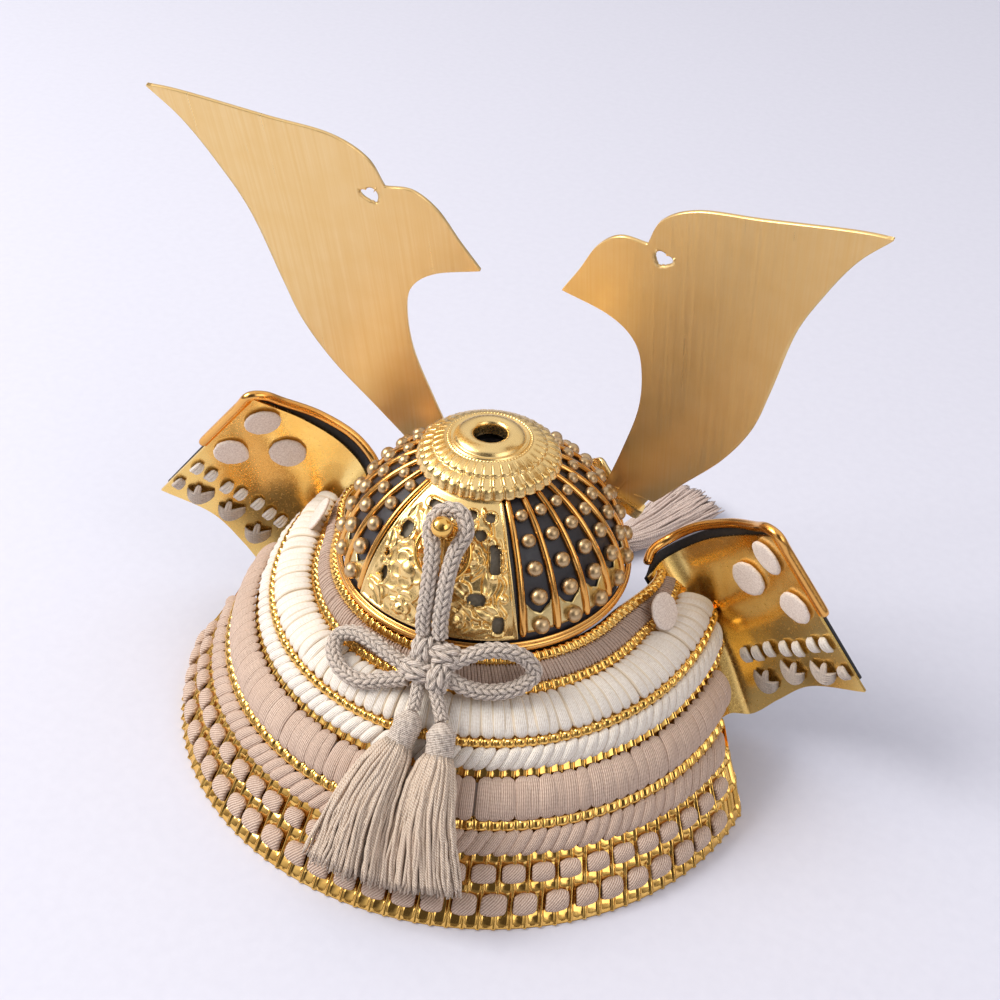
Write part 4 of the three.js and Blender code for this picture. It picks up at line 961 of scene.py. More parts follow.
# %% Back plate
ring_r = np.sqrt(PLATE_R**2 - (plate_up - DOME_DROP) ** 2)
rise = np.arcsin((plate_up - DOME_DROP) / PLATE_R)
step_x, step_y = np.gradient(plate_angle, axis=0) * ring_r, np.gradient(rise, axis=1) * PLATE_R
slope_x, slope_y = np.gradient(gap, axis=0) / step_x, np.gradient(gap, axis=1) / step_y
steep = np.hypot(slope_x, slope_y) + 1e-9
onto_edge = np.where(np.abs(gap) < 0.2, gap, 0) / steep
plate_angle = plate_angle - onto_edge * slope_x / steep / ring_r
plate_up = plate_up - onto_edge * slope_y / steep * np.cos(rise)
inside = gap < -0.1
open_faces = inside[:-1, :-1] | inside[1:, :-1] | inside[1:, 1:] | inside[:-1, 1:]
plate = dome(plate_angle, plate_up, PLATE_R)
plate += dome_normal(plate) * height[..., None]
# A grey sheet between the plate and the black shell shows through the holes as painted light on the
# shell.
skin("painted_lit_shell_sheet", dome(plate_angle[::8, ::8], plate_up[::8, ::8], LIT_SHELL_R), LIT_SHELL_PAINT,
     away=[0, 0, 0], thick=0.2)
skin("pierced_plate", plate, CARVED, away=[0, 0, 0], keep=~open_faces, thick=0.8,
     replaces=["back_plate"], sharp=60)

# %% [markdown]
# ## Post and hanging ring
# A polished post stands out of the plate, with a knob at its end, and a thin ring hangs on it.
# Both are turned shapes set square to the dome.

# %% Post and ring
POST_FOOT = dome(math.radians(-0.4), 25.4, 40.3)
POST_OUT = dome_normal(POST_FOOT)
post_profile = spline([(1.9, -0.9), (1.8, -0.3), (1.25, 0.3), (1.15, 2.5), (1.2, 4.6), (1.75, 5.6),
                       (2.5, 6.4), (2.72, 7.4), (2.55, 8.5), (1.9, 9.4), (1.0, 9.9), (0.15, 10.0)],
                      60)
post = turned(post_profile, full_turn(40)).swapaxes(0, 1)
skin("post_knob", standing(post, POST_FOOT, POST_OUT), POLISHED, cols_round=True, caps=True,
     replaces=["ring_post"])
LEAN, RING_R, WIRE_R = math.radians(7.5), 7.0, 0.6
down = unit(np.array([0, 0, -1.0]) + POST_OUT * POST_OUT[2])
ring_middle = POST_FOOT + POST_OUT * 0.45 + down * (RING_R - 0.45 - 1.5)
ring_out = POST_OUT * math.cos(LEAN) + down * math.sin(LEAN)
wire = circle(14) * WIRE_R + np.array([RING_R, 0])
skin("wire_ring", standing(turned(wire, full_turn(90)), ring_middle, ring_out), POLISHED,
     rows_round=True, cols_round=True, replaces=["hanging_ring"])

# %% [markdown]
# ## Horns
# Each tall horn is sawn from flat gold-plated sheet, brushed along its length, with a heart-shaped
# hole near its notch, a traditional opening that is called a boar's eye. It is a grid between its
# two edges, laid on a sheet that leans back and dishes slightly, with points moved onto the heart.

# %% The horn's two edges
HORN_MIDDLE, HORN_SWEEP, HORN_LEAN, HORN_DISH = (35, 60), 0.109, 0.29, 0.00055


def horn_y(x, z):
    """How far back the sheet lies: a plane with a slight dish, whose depth goes by distance
    squared."""
    dx, dz = x - HORN_MIDDLE[0], z - HORN_MIDDLE[1]
    return -19 + HORN_LEAN * dz + HORN_SWEEP * dx + HORN_DISH * (dz**2 + dx**2)


HORN_OUTER = [(37.9, 5.5), (46.0, 16.8), (56.0, 31.0), (62.8, 45.4), (66.2, 60.0), (70.4, 81.8),
              (75.6, 96.0), (81.6, 108.4), (88.3, 117.2)]
HORN_INNER = [
    # in stretches that meet at the beak and at the notch
    [(23.1, 6.4), (27.9, 23.0), (32.0, 40.0), (32.6, 54.0), (30.4, 64.0), (23.6, 70.4), (10.9, 74.4)],
    [(10.9, 74.4), (15.6, 82.4), (20.4, 91.4), (26.2, 96.4), (33.2, 96.3)],
    [(33.2, 96.3), (36.6, 104.4), (45.0, 109.8), (60.0, 112.4), (80.0, 116.3), (88.3, 117.2)],
]
# How far along the sheet each stretch begins, on the inner and on the outer edge, and its rows.
INNER_SHARES, OUTER_SHARES, STEPS = (0, 0.52, 0.7, 1), (0, 0.58, 0.65, 1), (180, 70, 110)
FINE, EVEN_KNOTS = 1200, 1e-9
inner_edge = np.concatenate([spline(part, n + 1, EVEN_KNOTS)[:-1]
                             for part, n in zip(HORN_INNER, STEPS)])
share = np.concatenate([np.linspace(a, b, n, endpoint=False)
                        for a, b, n in zip(INNER_SHARES, INNER_SHARES[1:], STEPS)])
fine_outer = spline(HORN_OUTER, FINE, EVEN_KNOTS)
outer_at = np.interp(share, INNER_SHARES, OUTER_SHARES) * (FINE - 1)
outer_edge = np.stack([np.interp(outer_at, np.arange(FINE), fine_outer[:, k]) for k in range(2)], -1)
v = 1 - (1 - np.linspace(0, 1, 90)[None, :, None]) ** 1.6
flat = outer_edge[:, None] * (1 - v) + inner_edge[:, None] * v

# %% The heart
HEART = 2.5  # half of its width
turn = math.atan2(0.5, 1)
dx, dz = flat[..., 0] - 37, flat[..., 1] - 92.6
hx = (dx * math.cos(turn) - dz * math.sin(turn)) / HEART
hz = (dx * math.sin(turn) + dz * math.cos(turn) + 0.2) / HEART
lobes = hz - 0.62 * np.sqrt(np.abs(hx) + 0.01)
gap = (np.sqrt(hx**2 + (lobes * 1.02) ** 2) - 0.92) * 2.0
spacing = [np.gradient(flat, axis=k) for k in (0, 1)]
det = spacing[0][..., 0] * spacing[1][..., 1] - spacing[0][..., 1] * spacing[1][..., 0]
gi, gj = np.gradient(gap, axis=0), np.gradient(gap, axis=1)
slope = np.stack([gi * spacing[1][..., 1] - gj * spacing[0][..., 1],
                  gj * spacing[0][..., 0] - gi * spacing[1][..., 0]], -1) / det[..., None]
steep = (slope**2).sum(-1, keepdims=True) + 1e-6
near = (np.abs(gap) < 0.2)[..., None]
flat = flat - np.where(near, gap[..., None] * slope / np.maximum(steep, 0.2), 0)
inside = gap < -0.15
open_faces = inside[:-1, :-1] | inside[1:, :-1] | inside[1:, 1:] | inside[:-1, 1:]

# %% Horn blades
blade = np.stack([flat[..., 0], horn_y(flat[..., 0], flat[..., 1]), flat[..., 1]], -1)
slope_x = HORN_SWEEP + 2 * HORN_DISH * (flat[..., 0] - HORN_MIDDLE[0])
slope_z = HORN_LEAN + 2 * HORN_DISH * (flat[..., 1] - HORN_MIDDLE[1])
blade_normal = unit(np.stack([-slope_x, np.ones_like(slope_x), -slope_z], -1))
blade = blade + blade_normal * 0.5
for way, side_name in BOTH_SIDES:
    skin(f"horn_blade_{side_name}", blade * way, BRUSHED, body=f"{side_name}_horn",
         away=[0, -90, 60], keep=~open_faces, thick=1.0, replaces=[f"horn_{side_name}"], sharp=50)

# %% Horn tangs
HORN_TRAVEL = unit(np.array([0.43, 0.24, 0.87]))
TANG_FOOT = np.array([31.8, horn_y(31.8, 6.0), 6.0])
tang_out = np.array([0.09, -1, 0.27])
tang_out = unit(tang_out - HORN_TRAVEL * (tang_out @ HORN_TRAVEL))
tang_side = np.cross(HORN_TRAVEL, tang_out)


def tang_bar(half, deep, low, high, round_off):
    """A bar with rounded corners along the way that the horn slides: a superellipse section."""
    a = full_turn(32)
    power = lambda c: np.sign(c) * np.abs(c) ** 0.3
    section = np.stack([half * power(np.cos(a)), deep * power(np.sin(a))], -1)
    s = np.linspace(0, 1, 12)
    shrink = 1 - round_off * (2 * s - 1) ** 12
    path = TANG_FOOT + HORN_TRAVEL * mix(low, high, s)[:, None]
    return (path[:, None] + tang_side * (section[None, :, :1] * shrink[:, None, None])
            + tang_out * (section[None, :, 1:] * shrink[:, None, None]))


tang = tang_bar(4.2, 0.5, -6.8, 4.0, 0.05)
for way, side_name in BOTH_SIDES:
    skin(f"horn_tang_{side_name}", tang * way, BRUSHED, body=f"{side_name}_horn", cols_round=True,
         caps=True, sharp=50)

# %% [markdown]
# ## Holder and visor
# The horns stand in two sockets on a bent, pierced plate in front of the bowl. Below the rim a
# crescent of gold makes the visor. Neither shows much from behind, but both are finished: the
# holder carries a scroll relief and the visor a turned-up edge.

# %% Holder
u, v = np.meshgrid(np.linspace(-1, 1, 161), np.linspace(0, 1, 41), indexing="ij")
apart = np.abs(u)
top = 4.5 + 6 * np.exp(-(((apart - 0.6) / 0.14) ** 2)) + 2.5 * ease(apart, 0.7, 0.85)
top_edge = top + 0.35 * np.abs(np.sin(u * 24))
low_edge = mix(-2.4, -0.6, apart**2)
sheet = np.stack([34 * u, -mix(47.5, 35.6, ease(apart, 0.15, 0.8)), mix(low_edge, top_edge, v)], -1)
z = sheet[..., 2]
scrolls = np.sin(0.9 * 34 * apart + 1.8 * np.sin(z * 0.8)) * np.cos(0.95 * z + 2 * np.sin(12 * apart))
framed = np.minimum(np.minimum(v, 1 - v) * 12, (1 - apart) * 30)
height = 0.35 * np.tanh(2 * scrolls) * ease(framed, 0.8, 1.6) + 0.3 * (1 - ease(framed, 0.5, 0.9))
sheet[..., 1] -= 0.35 + height
skin("holder_plate", sheet, CARVED, away=[0, 0, 0], thick=1.2, replaces=["horn_holder"], sharp=60)
socket_wall = tang_bar(5.4, 1.7, -8.0, -3.6, 0.06)
for way, side_name in BOTH_SIDES:
    skin(f"horn_socket_{side_name}", socket_wall * way, CARVED, cols_round=True, caps=True, sharp=50)

# %% Visor
u, v = np.meshgrid(np.linspace(-1, 1, 121), np.linspace(0, 1, 31), indexing="ij")
a = math.radians(46) * u
width = 2.2 + 12 * np.cos(u * np.pi / 2)
r = 40.6 + v * width
beads = 0.25 * np.abs(np.sin(u * 60)) * (1 - ease(np.abs((1 - v) * width - 1.3), 0.3, 0.6))
rolled = 0.55 * (1 - ease((1 - v) * width, 0.3, 0.8))
visor = np.stack([r * np.sin(a), -r * np.cos(a), -3.4 - v * width * 0.75 + beads + rolled], -1)
skin("visor_leaf", visor, MIRROR_GOLD, away=[0, 0, -80], thick=1.0, replaces=["visor"], sharp=60)

# %% [markdown]
# ## The neck guard's gold lames
# A lame is a strip of pressed and plated sheet with a row of studs along each of its edges, and a
# small ridge between every two studs. Loose studs could be set on a plain strip, but the real ones
# are pressed out of the sheet, so each lame is one grid whose height is the sum of both shapes.

# %% Pressed lames
STUD_BANDS = np.array([
    # row that a band of studs lies on, and half of its height, both in rows
    [-0.03, 0.16], [0.92, 0.14], [2.06, 0.16], [3.03, 0.13],
    [4.05, 0.16], [5.05, 0.16], [6.0, 0.15], [6.91, 0.16],
])


def pressed_lame(name, first, last, pitch, solid):
    """A stud is a half ellipsoid: sqrt(1 - (q / 0.74)^2) * sqrt(1 - t^4), with q across the stud
    and t up and down its band. A ridge is the same about |q| = 1, narrower and a little taller.
    The other bands have only ridges, with flat cells between them."""
    top = first - 0.22 if first < 1 else first - 0.16
    rows = np.linspace(top, last + 0.12 if last > 6 else last + 0.22, int((last - first) * 27 + 12))
    flutes = int(2 * math.degrees(end_angle((first + last) / 2)) / pitch)
    u = np.linspace(-1, 1, flutes * 12 + 1)[:, None]
    angle = u * end_angle(np.clip(rows, first, last))
    q = np.abs(2 * ((u * flutes / 2) % 1) - 1)
    round_over = lambda x: np.sqrt(np.clip(1 - x**2, 0, 1))
    height = 0.12 * np.cos(9 * u + rows)
    for row, (centre, half) in enumerate(STUD_BANDS[first:last + 1], first):
        t = (rows[None] - centre) / half
        beaded = row in (0, 1, 2, 4)
        strip = 0.3 * (1 - ease(np.abs(t), 1.0, 1.4))
        rise = 0.95 * round_over(q / 0.74) if beaded else 0.12 * (q / 0.74) ** 2
        stud = (0.4 + rise) * round_over(np.clip(t, -1, 1) ** 2) * (q < 0.74)
        ridge = 1.05 * round_over((1 - q) / 0.24) * round_over(np.clip(t / 1.35, -1, 1) ** 2)
        height = np.maximum(height, np.maximum(strip, np.maximum(stud, ridge)))
    if last > 6:
        flute = (0.15 + 0.8 * round_over((1 - q) / 0.3)) * ease(rows[None], 4.95, 5.1)
        height = np.maximum(height, flute)
    outer_face = guard(rows[None] + 0 * u, angle, -0.95 + height)
    inner_face = guard(rows[None, ::5] + 0 * u, angle[:, ::5], -1.6)[:, ::-1]
    skin(name, np.concatenate([outer_face, inner_face], 1), POLISHED, cols_round=True, caps=True,
         replaces=[solid])


pressed_lame("pressed_lame_1", 0, 1, 3.0, "lame_1")
pressed_lame("pressed_lame_2", 2, 3, 2.7, "lame_2")
pressed_lame("pressed_lame_3", 4, 7, 2.7, "lame_3")

# %% [markdown]
# ## Silk lacing
# Flat braids of silk run close together from lame to lame: in tall rows they hang in soft bulges,
# in low rows they slant like rope, and at the bottom each pair is drawn into a square tuft. Every
# strand is a closed grid along its own short path on the guard, a little different from the next,
# and its threads run along it in the finish.

# %% Silks
WHITE_LOOK = ((0.62, 0.52, 0.42), (0.9, 0.83, 0.745), (0.97, 0.94, 0.89))
BEIGE_LOOK = ((0.27, 0.165, 0.12), (0.54, 0.385, 0.3), (0.83, 0.67, 0.56))
# The white tape's edge colour is a painted shade where neighbouring tapes meet.
WHITE_TAPE = silk("white_silk", *WHITE_LOOK, 0.46, height=0.1, edge=(0.8, 0.68, 0.52), half=1.36)
BEIGE_TAPE = silk("beige_silk", *BEIGE_LOOK, 0.46, height=0.12)
WHITE_ROPE = silk("white_rope_silk", *WHITE_LOOK, 0.5, height=0.12)
BEIGE_TUFT = silk("beige_tuft_silk", *BEIGE_LOOK, 0.5, turn=38, height=0.15)
REAR_RADIUS = 62.0  # turns degrees of the guard into rough millimetres


def laces(name, finish, rows, pitch, wide, solid, bulge=0.6, thick=0.7, base=-0.5, slant=0.0,
          phase=0.0, uneven=0.0, sides=12, steps=14, square=1.0, blunt=8, shade=0.6):
    """Closed strands side by side. Angle = centre + half width * cos + slant, lift = base + thick
    * sin + bulge * sin(pi * s)^0.8, with s from a strand's top to its foot. The section's corners
    and the ends square up as the powers square and blunt part from 1 and 2."""
    reach = math.degrees(end_angle(sum(rows) / 2)) - pitch * 0.6
    count = int(2 * reach / pitch)
    loose = rng.normal(0, uneven, (4, count))[..., None, None]
    centres = ((np.arange(count) - (count - 1) / 2 + phase) * pitch)[:, None, None]
    s = np.linspace(0, 1, steps)[None, :, None]
    ring = circle(sides)
    ring = np.sign(ring) * np.abs(ring) ** square
    ends = np.sqrt(np.clip(1 - (2 * s - 1) ** blunt, 0.1, 1))
    half = 0.5 * wide * (1 + loose[0]) * ends
    angle = (centres + loose[1] * pitch + half * ring[:, 0]
             + slant * (0.5 - s) + 2.2 * loose[2] * (s - 0.5))
    lift = (base + thick * ends * ring[:, 1] + bulge * np.sin(np.pi * s) ** 0.8
            + 2.5 * loose[3] * np.sin(np.pi * s))
    row = mix(rows[0], rows[1], s) + 0 * angle
    ring_uv = np.append(ring[:, 0], ring[0, 0]) * math.radians(wide / 2) * REAR_RADIUS
    long = abs(rows[1] - rows[0]) * 8
    # Painted shade: each strand darkens, by shade, on its side towards the guard and between strands,
    # and stays light on its top.
    painted_shade = shade * (1 - ease(ring[:, 1], -0.35, 0.55))[None, None]
    skin(name, guard(row, np.radians(angle), lift), finish, cols_round=True, caps=True,
         replaces=[solid], painted_shade=painted_shade, uv=(ring_uv[None, None], s * long + 9 * centres))


# %% Lacing, row by row
laces("laces_beige_top", BEIGE_TAPE, (0.1, 0.8), 1.1, 1.3, "lacing_beige_top", bulge=0.5,
      thick=0.5, slant=0.6, sides=6, steps=7, uneven=0.05, shade=0.3)
laces("laces_white_wide", WHITE_TAPE, (1.04, 1.93), 2.75, 3.5, "lacing_white_wide", bulge=1.9,
      base=-0.1, uneven=0.1, steps=16, square=0.8, shade=0.3)
laces("laces_white_narrow", WHITE_ROPE, (2.18, 2.99), 2.7, 3.3, "lacing_white_narrow", thick=1.15,
      slant=-3.4, uneven=0.05, blunt=4, shade=0.35)
laces("laces_beige_wide", BEIGE_TAPE, (3.1, 3.93), 2.7, 3.5, "lacing_beige_wide", bulge=1.9,
      base=-0.1, uneven=0.075, steps=16, square=0.8)
laces("laces_beige_narrow", BEIGE_TAPE, (4.16, 4.97), 2.7, 3.3, "lacing_beige_narrow", thick=1.15,
      slant=-3.4, uneven=0.05, blunt=4)
laces("silk_tufts_upper", BEIGE_TUFT, (5.23, 5.86), 5.4, 4.2, "tufts_upper", bulge=1.2, thick=1.1,
      sides=20, square=0.7, blunt=6, uneven=0.035)
laces("silk_tufts_lower", BEIGE_TUFT, (6.15, 6.76), 5.4, 4.2, "tufts_lower", bulge=1.2, thick=1.1,
      sides=20, square=0.7, blunt=6, phase=0.5, uneven=0.035)

# %% [markdown]
# ## The wings
# At each side the top of the neck guard turns back in a wing of mirror gold, lined behind with
# black and edged by a thick coppery tube. The wing's two long edges are curves, with straight lines
# between them, so a ruled surface gives its shape. Lining and tube are laid off it in turn.

# %% The wing as a ruled surface
WING_TOP = spline([(43.2, -13, -5), (44.5, -21, -5), (48.5, -24.6, -2.4), (55.2, -24.6, 3.6),
                   (64.5, -20.6, 11.2), (74.0, -9.1, 22.5)], 61)
WING_LOW = spline([(70.0, -8, -44), (72.2, -14, -46.5), (77.5, -16.8, -47), (84.6, -15.3, -36.8),
                   (92.0, -11.6, -25.6), (106.2, -6.7, -17.7)], 61)


WING_BELLY = np.array([4, -1.5, 0])


def wing(u, v):
    """mix(top(u), low(u), v), plus a belly of 4 mm near the lames: (1 - u)^2 * (4v(1 - v))^2."""
    u, v = np.broadcast_arrays(np.asarray(u, float), v)
    at = np.clip(u, 0, 1) * (len(WING_TOP) - 1)
    rows = np.arange(len(WING_TOP))
    read = lambda edge: np.stack([np.interp(at, rows, edge[:, k]) for k in range(3)], -1)
    belly = (1 - np.clip(u, 0, 1)) ** 2 * (4 * v * (1 - v)) ** 2
    return mix(read(WING_TOP), read(WING_LOW), v[..., None]) + belly[..., None] * WING_BELLY


def wing_normal(u, v):
    """Square to the wing, towards the helmet's back."""
    u, v = np.broadcast_arrays(np.clip(u, 0.03, 0.97), np.clip(v, 0.03, 0.97))
    du = wing(u + 0.02, v) - wing(u - 0.02, v)
    return unit(np.cross(du, wing(u, v + 0.02) - wing(u, v - 0.02)))


def lining(u, v):
    """The lining stands above the plate along its top and stops short of its lower edge."""
    top_point = wing(u, 0 * v)
    down_way = unit(wing(u, 0 * v + 0.05) - top_point)
    rise = 2.2 * ease(u, 0, 0.25) * (1 - 0.8 * ease(u, 0.85, 1)) * (1 - ease(v, 0, 0.1))
    return wing(u, v * 0.93) - down_way * rise[..., None]


def closed_plate(point, u, v, offset, thick):
    """A plate between two offsets along the wing's normal."""
    normal = wing_normal(u, v)
    front, back = point(u, v) + normal * offset, point(u, v) + normal * (offset - thick)
    return np.concatenate([front, back[:, ::-1]], 1)


# %% Finishes for lining and suede
cloth = Finish("black_backing", (0.012, 0.012, 0.016), roughness=0.6)
weave = cloth.noise(cloth.place(), 1500, 3)
dark = cloth.blend(cloth.spread(weave, 0, 1, 0.3, 0.7), (0.008, 0.008, 0.011), (0.025, 0.024, 0.03))
BLACK_CLOTH = cloth.put_on(dark, bumps=[(weave, 0.4, 0.08)])
hide = Finish("suede", (0.7, 0.58, 0.52), roughness=0.95, Sheen_Weight=0.3)
nap = hide.noise(hide.place(), 2300, 4, 0.7)
tone = hide.blend(hide.spread(nap, 0, 1, 0.32, 0.66), (0.62, 0.5, 0.43), (0.95, 0.85, 0.77))
SUEDE = hide.put_on(tone, bumps=[(nap, 0.8, 0.15)])

# %% Plates, linings and tubes
u, v = np.linspace(0, 1, 90)[:, None], np.linspace(0, 1, 60)[None]
plate_body = closed_plate(wing, u, v, 0.4, 0.8)
lining_body = closed_plate(lining, u, v, -0.7, 0.8)
at = np.array([0.08, 0.2, 0.35, 0.55, 0.75, 0.9, 0.97])
rise = 1.75 + 2.2 * ease(at, 0, 0.25) - 2.4 * ease(at, 0.6, 1)
above = unit(wing(at, 0 * at) - wing(at, 0 * at + 0.05)) * rise[:, None]
along_top = wing(at, 0 * at) + above - wing_normal(at, 0 * at + 0.03) * 1.1
corner, tip = wing(1.0, 0.0), wing(1.0, 1.0)
fall, square = unit(tip - corner), wing_normal(0.97, 0.1)
outwards = np.cross(square, fall)
outwards = outwards * np.sign(outwards[0])
along_side = corner + fall * np.array([0.8, 6, 17, 27])[:, None] + outwards * 0.8 - square * 1.1
TUBE_R, TUBE_STEPS = 1.35, 140
tube_path = even(spline(np.concatenate([along_top, along_side]), 300), TUBE_STEPS)
tube_end = np.sqrt(np.clip(1 - np.linspace(-1, 1, TUBE_STEPS) ** 60, 0.02, 1))[:, None, None]
tube_body = sweep(tube_path, carried_frame(tube_path), circle(18) * TUBE_R * tube_end)
for way, side_name in BOTH_SIDES:
    skin(f"wing_leaf_{side_name}", plate_body * way, MIRROR_GOLD, cols_round=True, caps=True, sharp=50,
         replaces=[f"wing_plate_{side_name}"])
    skin(f"wing_lining_{side_name}", lining_body * way, BLACK_CLOTH, cols_round=True, caps=True,
         sharp=50, replaces=[f"wing_backing_{side_name}"])
    skin(f"wing_tube_{side_name}", tube_body * way, COPPERY, cols_round=True, caps=True,
         replaces=[f"wing_rim_{side_name}"])

# %% [markdown]
# ## Suede discs and silk knots
# Three suede petals sit on each wing and one over each ear. They are punched by hand, so each has
# its own outline. Below them runs a line of small white knots and a line of larger taupe ones,
# where silk comes up through the plate and goes down again: bundles of two to five short strands.

# %% Suede discs
DISC_R = 5.1


def suede_disc(place, normal, up, stretch, points_at, lopsided):
    """A flat petal: radius 5.1 * (1 + lopsided * cos(a - points_at)^9), thinner at its edge."""
    a = full_turn(60)[:, None]
    profile = np.array([(0.02, 0.5), (0.5, 0.52), (0.82, 0.5), (0.95, 0.4), (1.0, 0.05),
                        (0.98, -0.35), (0.9, -0.45), (0.02, -0.45)])
    point = lopsided * np.clip(np.cos(a - points_at), 0, 1) ** 9
    outline = DISC_R * (1 + point + 0.01 * np.sin(9 * a))
    fuzz = 1 + rng.normal(0, 0.008, (60, 1)) * (profile[:, 0] > 0.9)
    r = profile[:, 0] * outline * fuzz
    local_points = np.stack([r * np.cos(a) * stretch, r * np.sin(a), profile[:, 1] + 0 * r], -1)
    return standing(local_points, place, normal, up)


DISCS = {
    # along and down the wing, then stretch, the way its point looks, and how long the point is
    "top": (0.92, 0.13, 1.02, 0.4, 0.04), "outer": (0.925, 0.45, 0.97, 5.7, 0.16),
    "inner": (0.75, 0.265, 1.05, 2.9, 0.03),
}
for spot, (du, dv, stretch, points_at, lopsided) in DISCS.items():
    n = wing_normal(du, dv)
    petal = suede_disc(wing(du, dv) + n * 1.35, n, [0, 0, 1.0], stretch, points_at, lopsided)
    for way, side_name in BOTH_SIDES:
        skin(f"suede_{spot}_{side_name}", petal * way, SUEDE, rows_round=True,
             replaces=[f"wing_disc_{spot}_{side_name}"])
EAR_ROW, EAR_LIFT = 0.65, 3.7
ear_angle = end_angle(EAR_ROW) * 0.82
ear = guard(EAR_ROW, ear_angle, EAR_LIFT)
ear_normal = unit(guard(EAR_ROW, ear_angle, EAR_LIFT + 1) - ear)
petal = suede_disc(ear, ear_normal, [0, 0, 1.0], 1.0, 1.0, 0.05)
for way, side_name in BOTH_SIDES:
    skin(f"suede_ear_{side_name}", petal * way, SUEDE, rows_round=True,
         replaces=[f"lame_disc_{side_name}"])

# %% Silk knots on the wings
WHITE_KNOTS = np.array([(94.3, -8.6, -6.3), (91.2, -11.2, -9.2), (88.7, -16.1, -13.9),
                        (85.2, -18.0, -16.6), (81.4, -20.9, -20.6), (77.7, -22.4, -24.6),
                        (74.0, -21.5, -27.4)])
TAUPE_KNOTS = np.array([(100.3, -8.2, -13.2), (95.8, -12.0, -17.5), (89.8, -19.2, -23.4),
                        (82.5, -22.8, -32.6)])


def on_wing(places):
    """The nearest spots of the wing to some places: point, normal and the way up across it."""
    gu, gv = np.meshgrid(np.linspace(0, 1, 161), np.linspace(0, 1, 121), indexing="ij")
    surface = wing(gu, gv).reshape(-1, 3)
    nearest = ((places[:, None] - surface[None]) ** 2).sum(-1).argmin(1)
    su, sv = gu.ravel()[nearest], gv.ravel()[nearest]
    return surface[nearest], wing_normal(su, sv), unit(wing(su, sv * 0 + 0.1) - wing(su, sv * 0 + 0.9))


def bundle(places, strands, long, apart, thick, lean, arch, curl=0.0):
    """Short strands over each place: along * t, side by side, in an arch of height
    arch * (1 - t^2), with ends that curl up across the wing. Each is a closed grid of 9 rings."""
    spot, normal, up = on_wing(places)
    along = unit(up * math.cos(lean) + np.cross(normal, up) * math.sin(lean))
    across = np.cross(normal, along)
    t = np.linspace(-1, 1, 9)
    k = np.arange(strands) - (strands - 1) / 2
    pinch = 1 - 0.45 * t**2
    path = (spot[:, None, None] + along[:, None, None] * (t * long)[None, None, :, None]
            + across[:, None, None] * (k[:, None] * pinch * apart)[None, ..., None]
            + up[:, None, None] * (curl * (t**2 - 0.4))[None, None, :, None]
            + normal[:, None, None] * (0.9 + arch * (1 - t**2))[None, None, :, None])
    path = path.reshape(-1, 9, 3)
    out = np.repeat(normal, strands, 0)[:, None] + 0 * path
    ends = np.sqrt(np.clip(1 - t**6, 0.1, 1))[:, None, None]
    ring = circle(8)
    # Painted shade: each strand darkens on its side towards the wing and stays light on its top.
    painted_shade = 0.55 * (1 - ease(ring[:, 1], -0.5, 0.6))[None, None]
    return sweep(path, out, ring * thick * ends), painted_shade


for way, side_name in BOTH_SIDES:
    strand_uv = (np.linspace(0, 5, 9)[None, None], np.linspace(0, 6, 9)[None, :, None])
    points, painted_shade = bundle(WHITE_KNOTS, 3, 2.4, 1.0, 0.62, -0.1, 0.9)
    skin(f"white_knots_{side_name}", points * way, WHITE_ROPE, cols_round=True, caps=True,
         painted_shade=painted_shade, uv=strand_uv)
    points, painted_shade = bundle(TAUPE_KNOTS[1:] + np.array([0, 0, 1.6]), 2, 2.2, 0.85, 0.62, 0.35, 1.3)
    points = np.concatenate([points, bundle(TAUPE_KNOTS[:1], 3, 2.2, 1.0, 0.62, -0.1, 0.9)[0]])
    skin(f"taupe_knots_under_{side_name}", points * way, TAUPE, cols_round=True, caps=True,
         painted_shade=painted_shade, uv=strand_uv)
    points, painted_shade = bundle(TAUPE_KNOTS[1:], 5, 4.0, 0.86, 0.54, -1.0, 1.5, 1.8)
    skin(f"taupe_knots_over_{side_name}", points * way, TAUPE, cols_round=True, caps=True,
         painted_shade=painted_shade, uv=strand_uv)

# %% [markdown]
# ## Knots, tails and tassels
# The cord is tied in four fat turns round a dark middle. Two short tails come out below, each
# ending in a tassel: a barrel wound with thread, and a skirt of a few hundred twisted threads.
# The turns and tails are the same braid as the cord, the barrel is a turned grid with raised
# windings, and every thread of the skirt is its own thin rod.

# %% The knot's turns
def lump(start, top, end, radius=2.05):
    """One short turn of braid: a curve over three places, that thins towards both of its ends."""
    line, points, uv, painted_shade = braid(spline([start, top, end], 200), radius, columns=10)
    s = np.linspace(-1, 1, len(line))[:, None, None]
    taper = np.sqrt(np.clip(1 - np.abs(s) ** 5, 0.12, 1))
    return line[:, None] + (points - line[:, None]) * taper, uv, painted_shade


def tied_knot(name, middle, right, up, half, finish, solid):
    """Four fat turns about the middle, one to each corner. Each arches over its corner, and runs
    across or upwards by turns, like the sails of a windmill."""
    right, up = unit(np.array(right, float)), unit(np.array(up, float))
    out = np.cross(right, up)
    middle = np.array(middle, float)
    for k in range(4):
        a = math.radians(45 + 90 * k)
        c, s = math.cos(a), math.sin(a)
        arm = right * c * half[0] + up * s * half[1]
        along = right * half[0] if k % 2 == 0 else up * half[1]
        start = middle + arm * 0.55 - along * 0.62 - out * (half[2] * 0.25)
        top = middle + arm * 0.6 + out * (half[2] * 0.42)
        end = middle + arm * 0.55 + along * 0.56 - out * (half[2] * 0.3)
        points, uv, painted_shade = lump(start, top, end, 0.47 * half[0])
        skin(f"{name}_turn_{k + 1}", points, finish, cols_round=True, caps=True, uv=uv,
             painted_shade=painted_shade, replaces=[solid] if k == 0 else ())


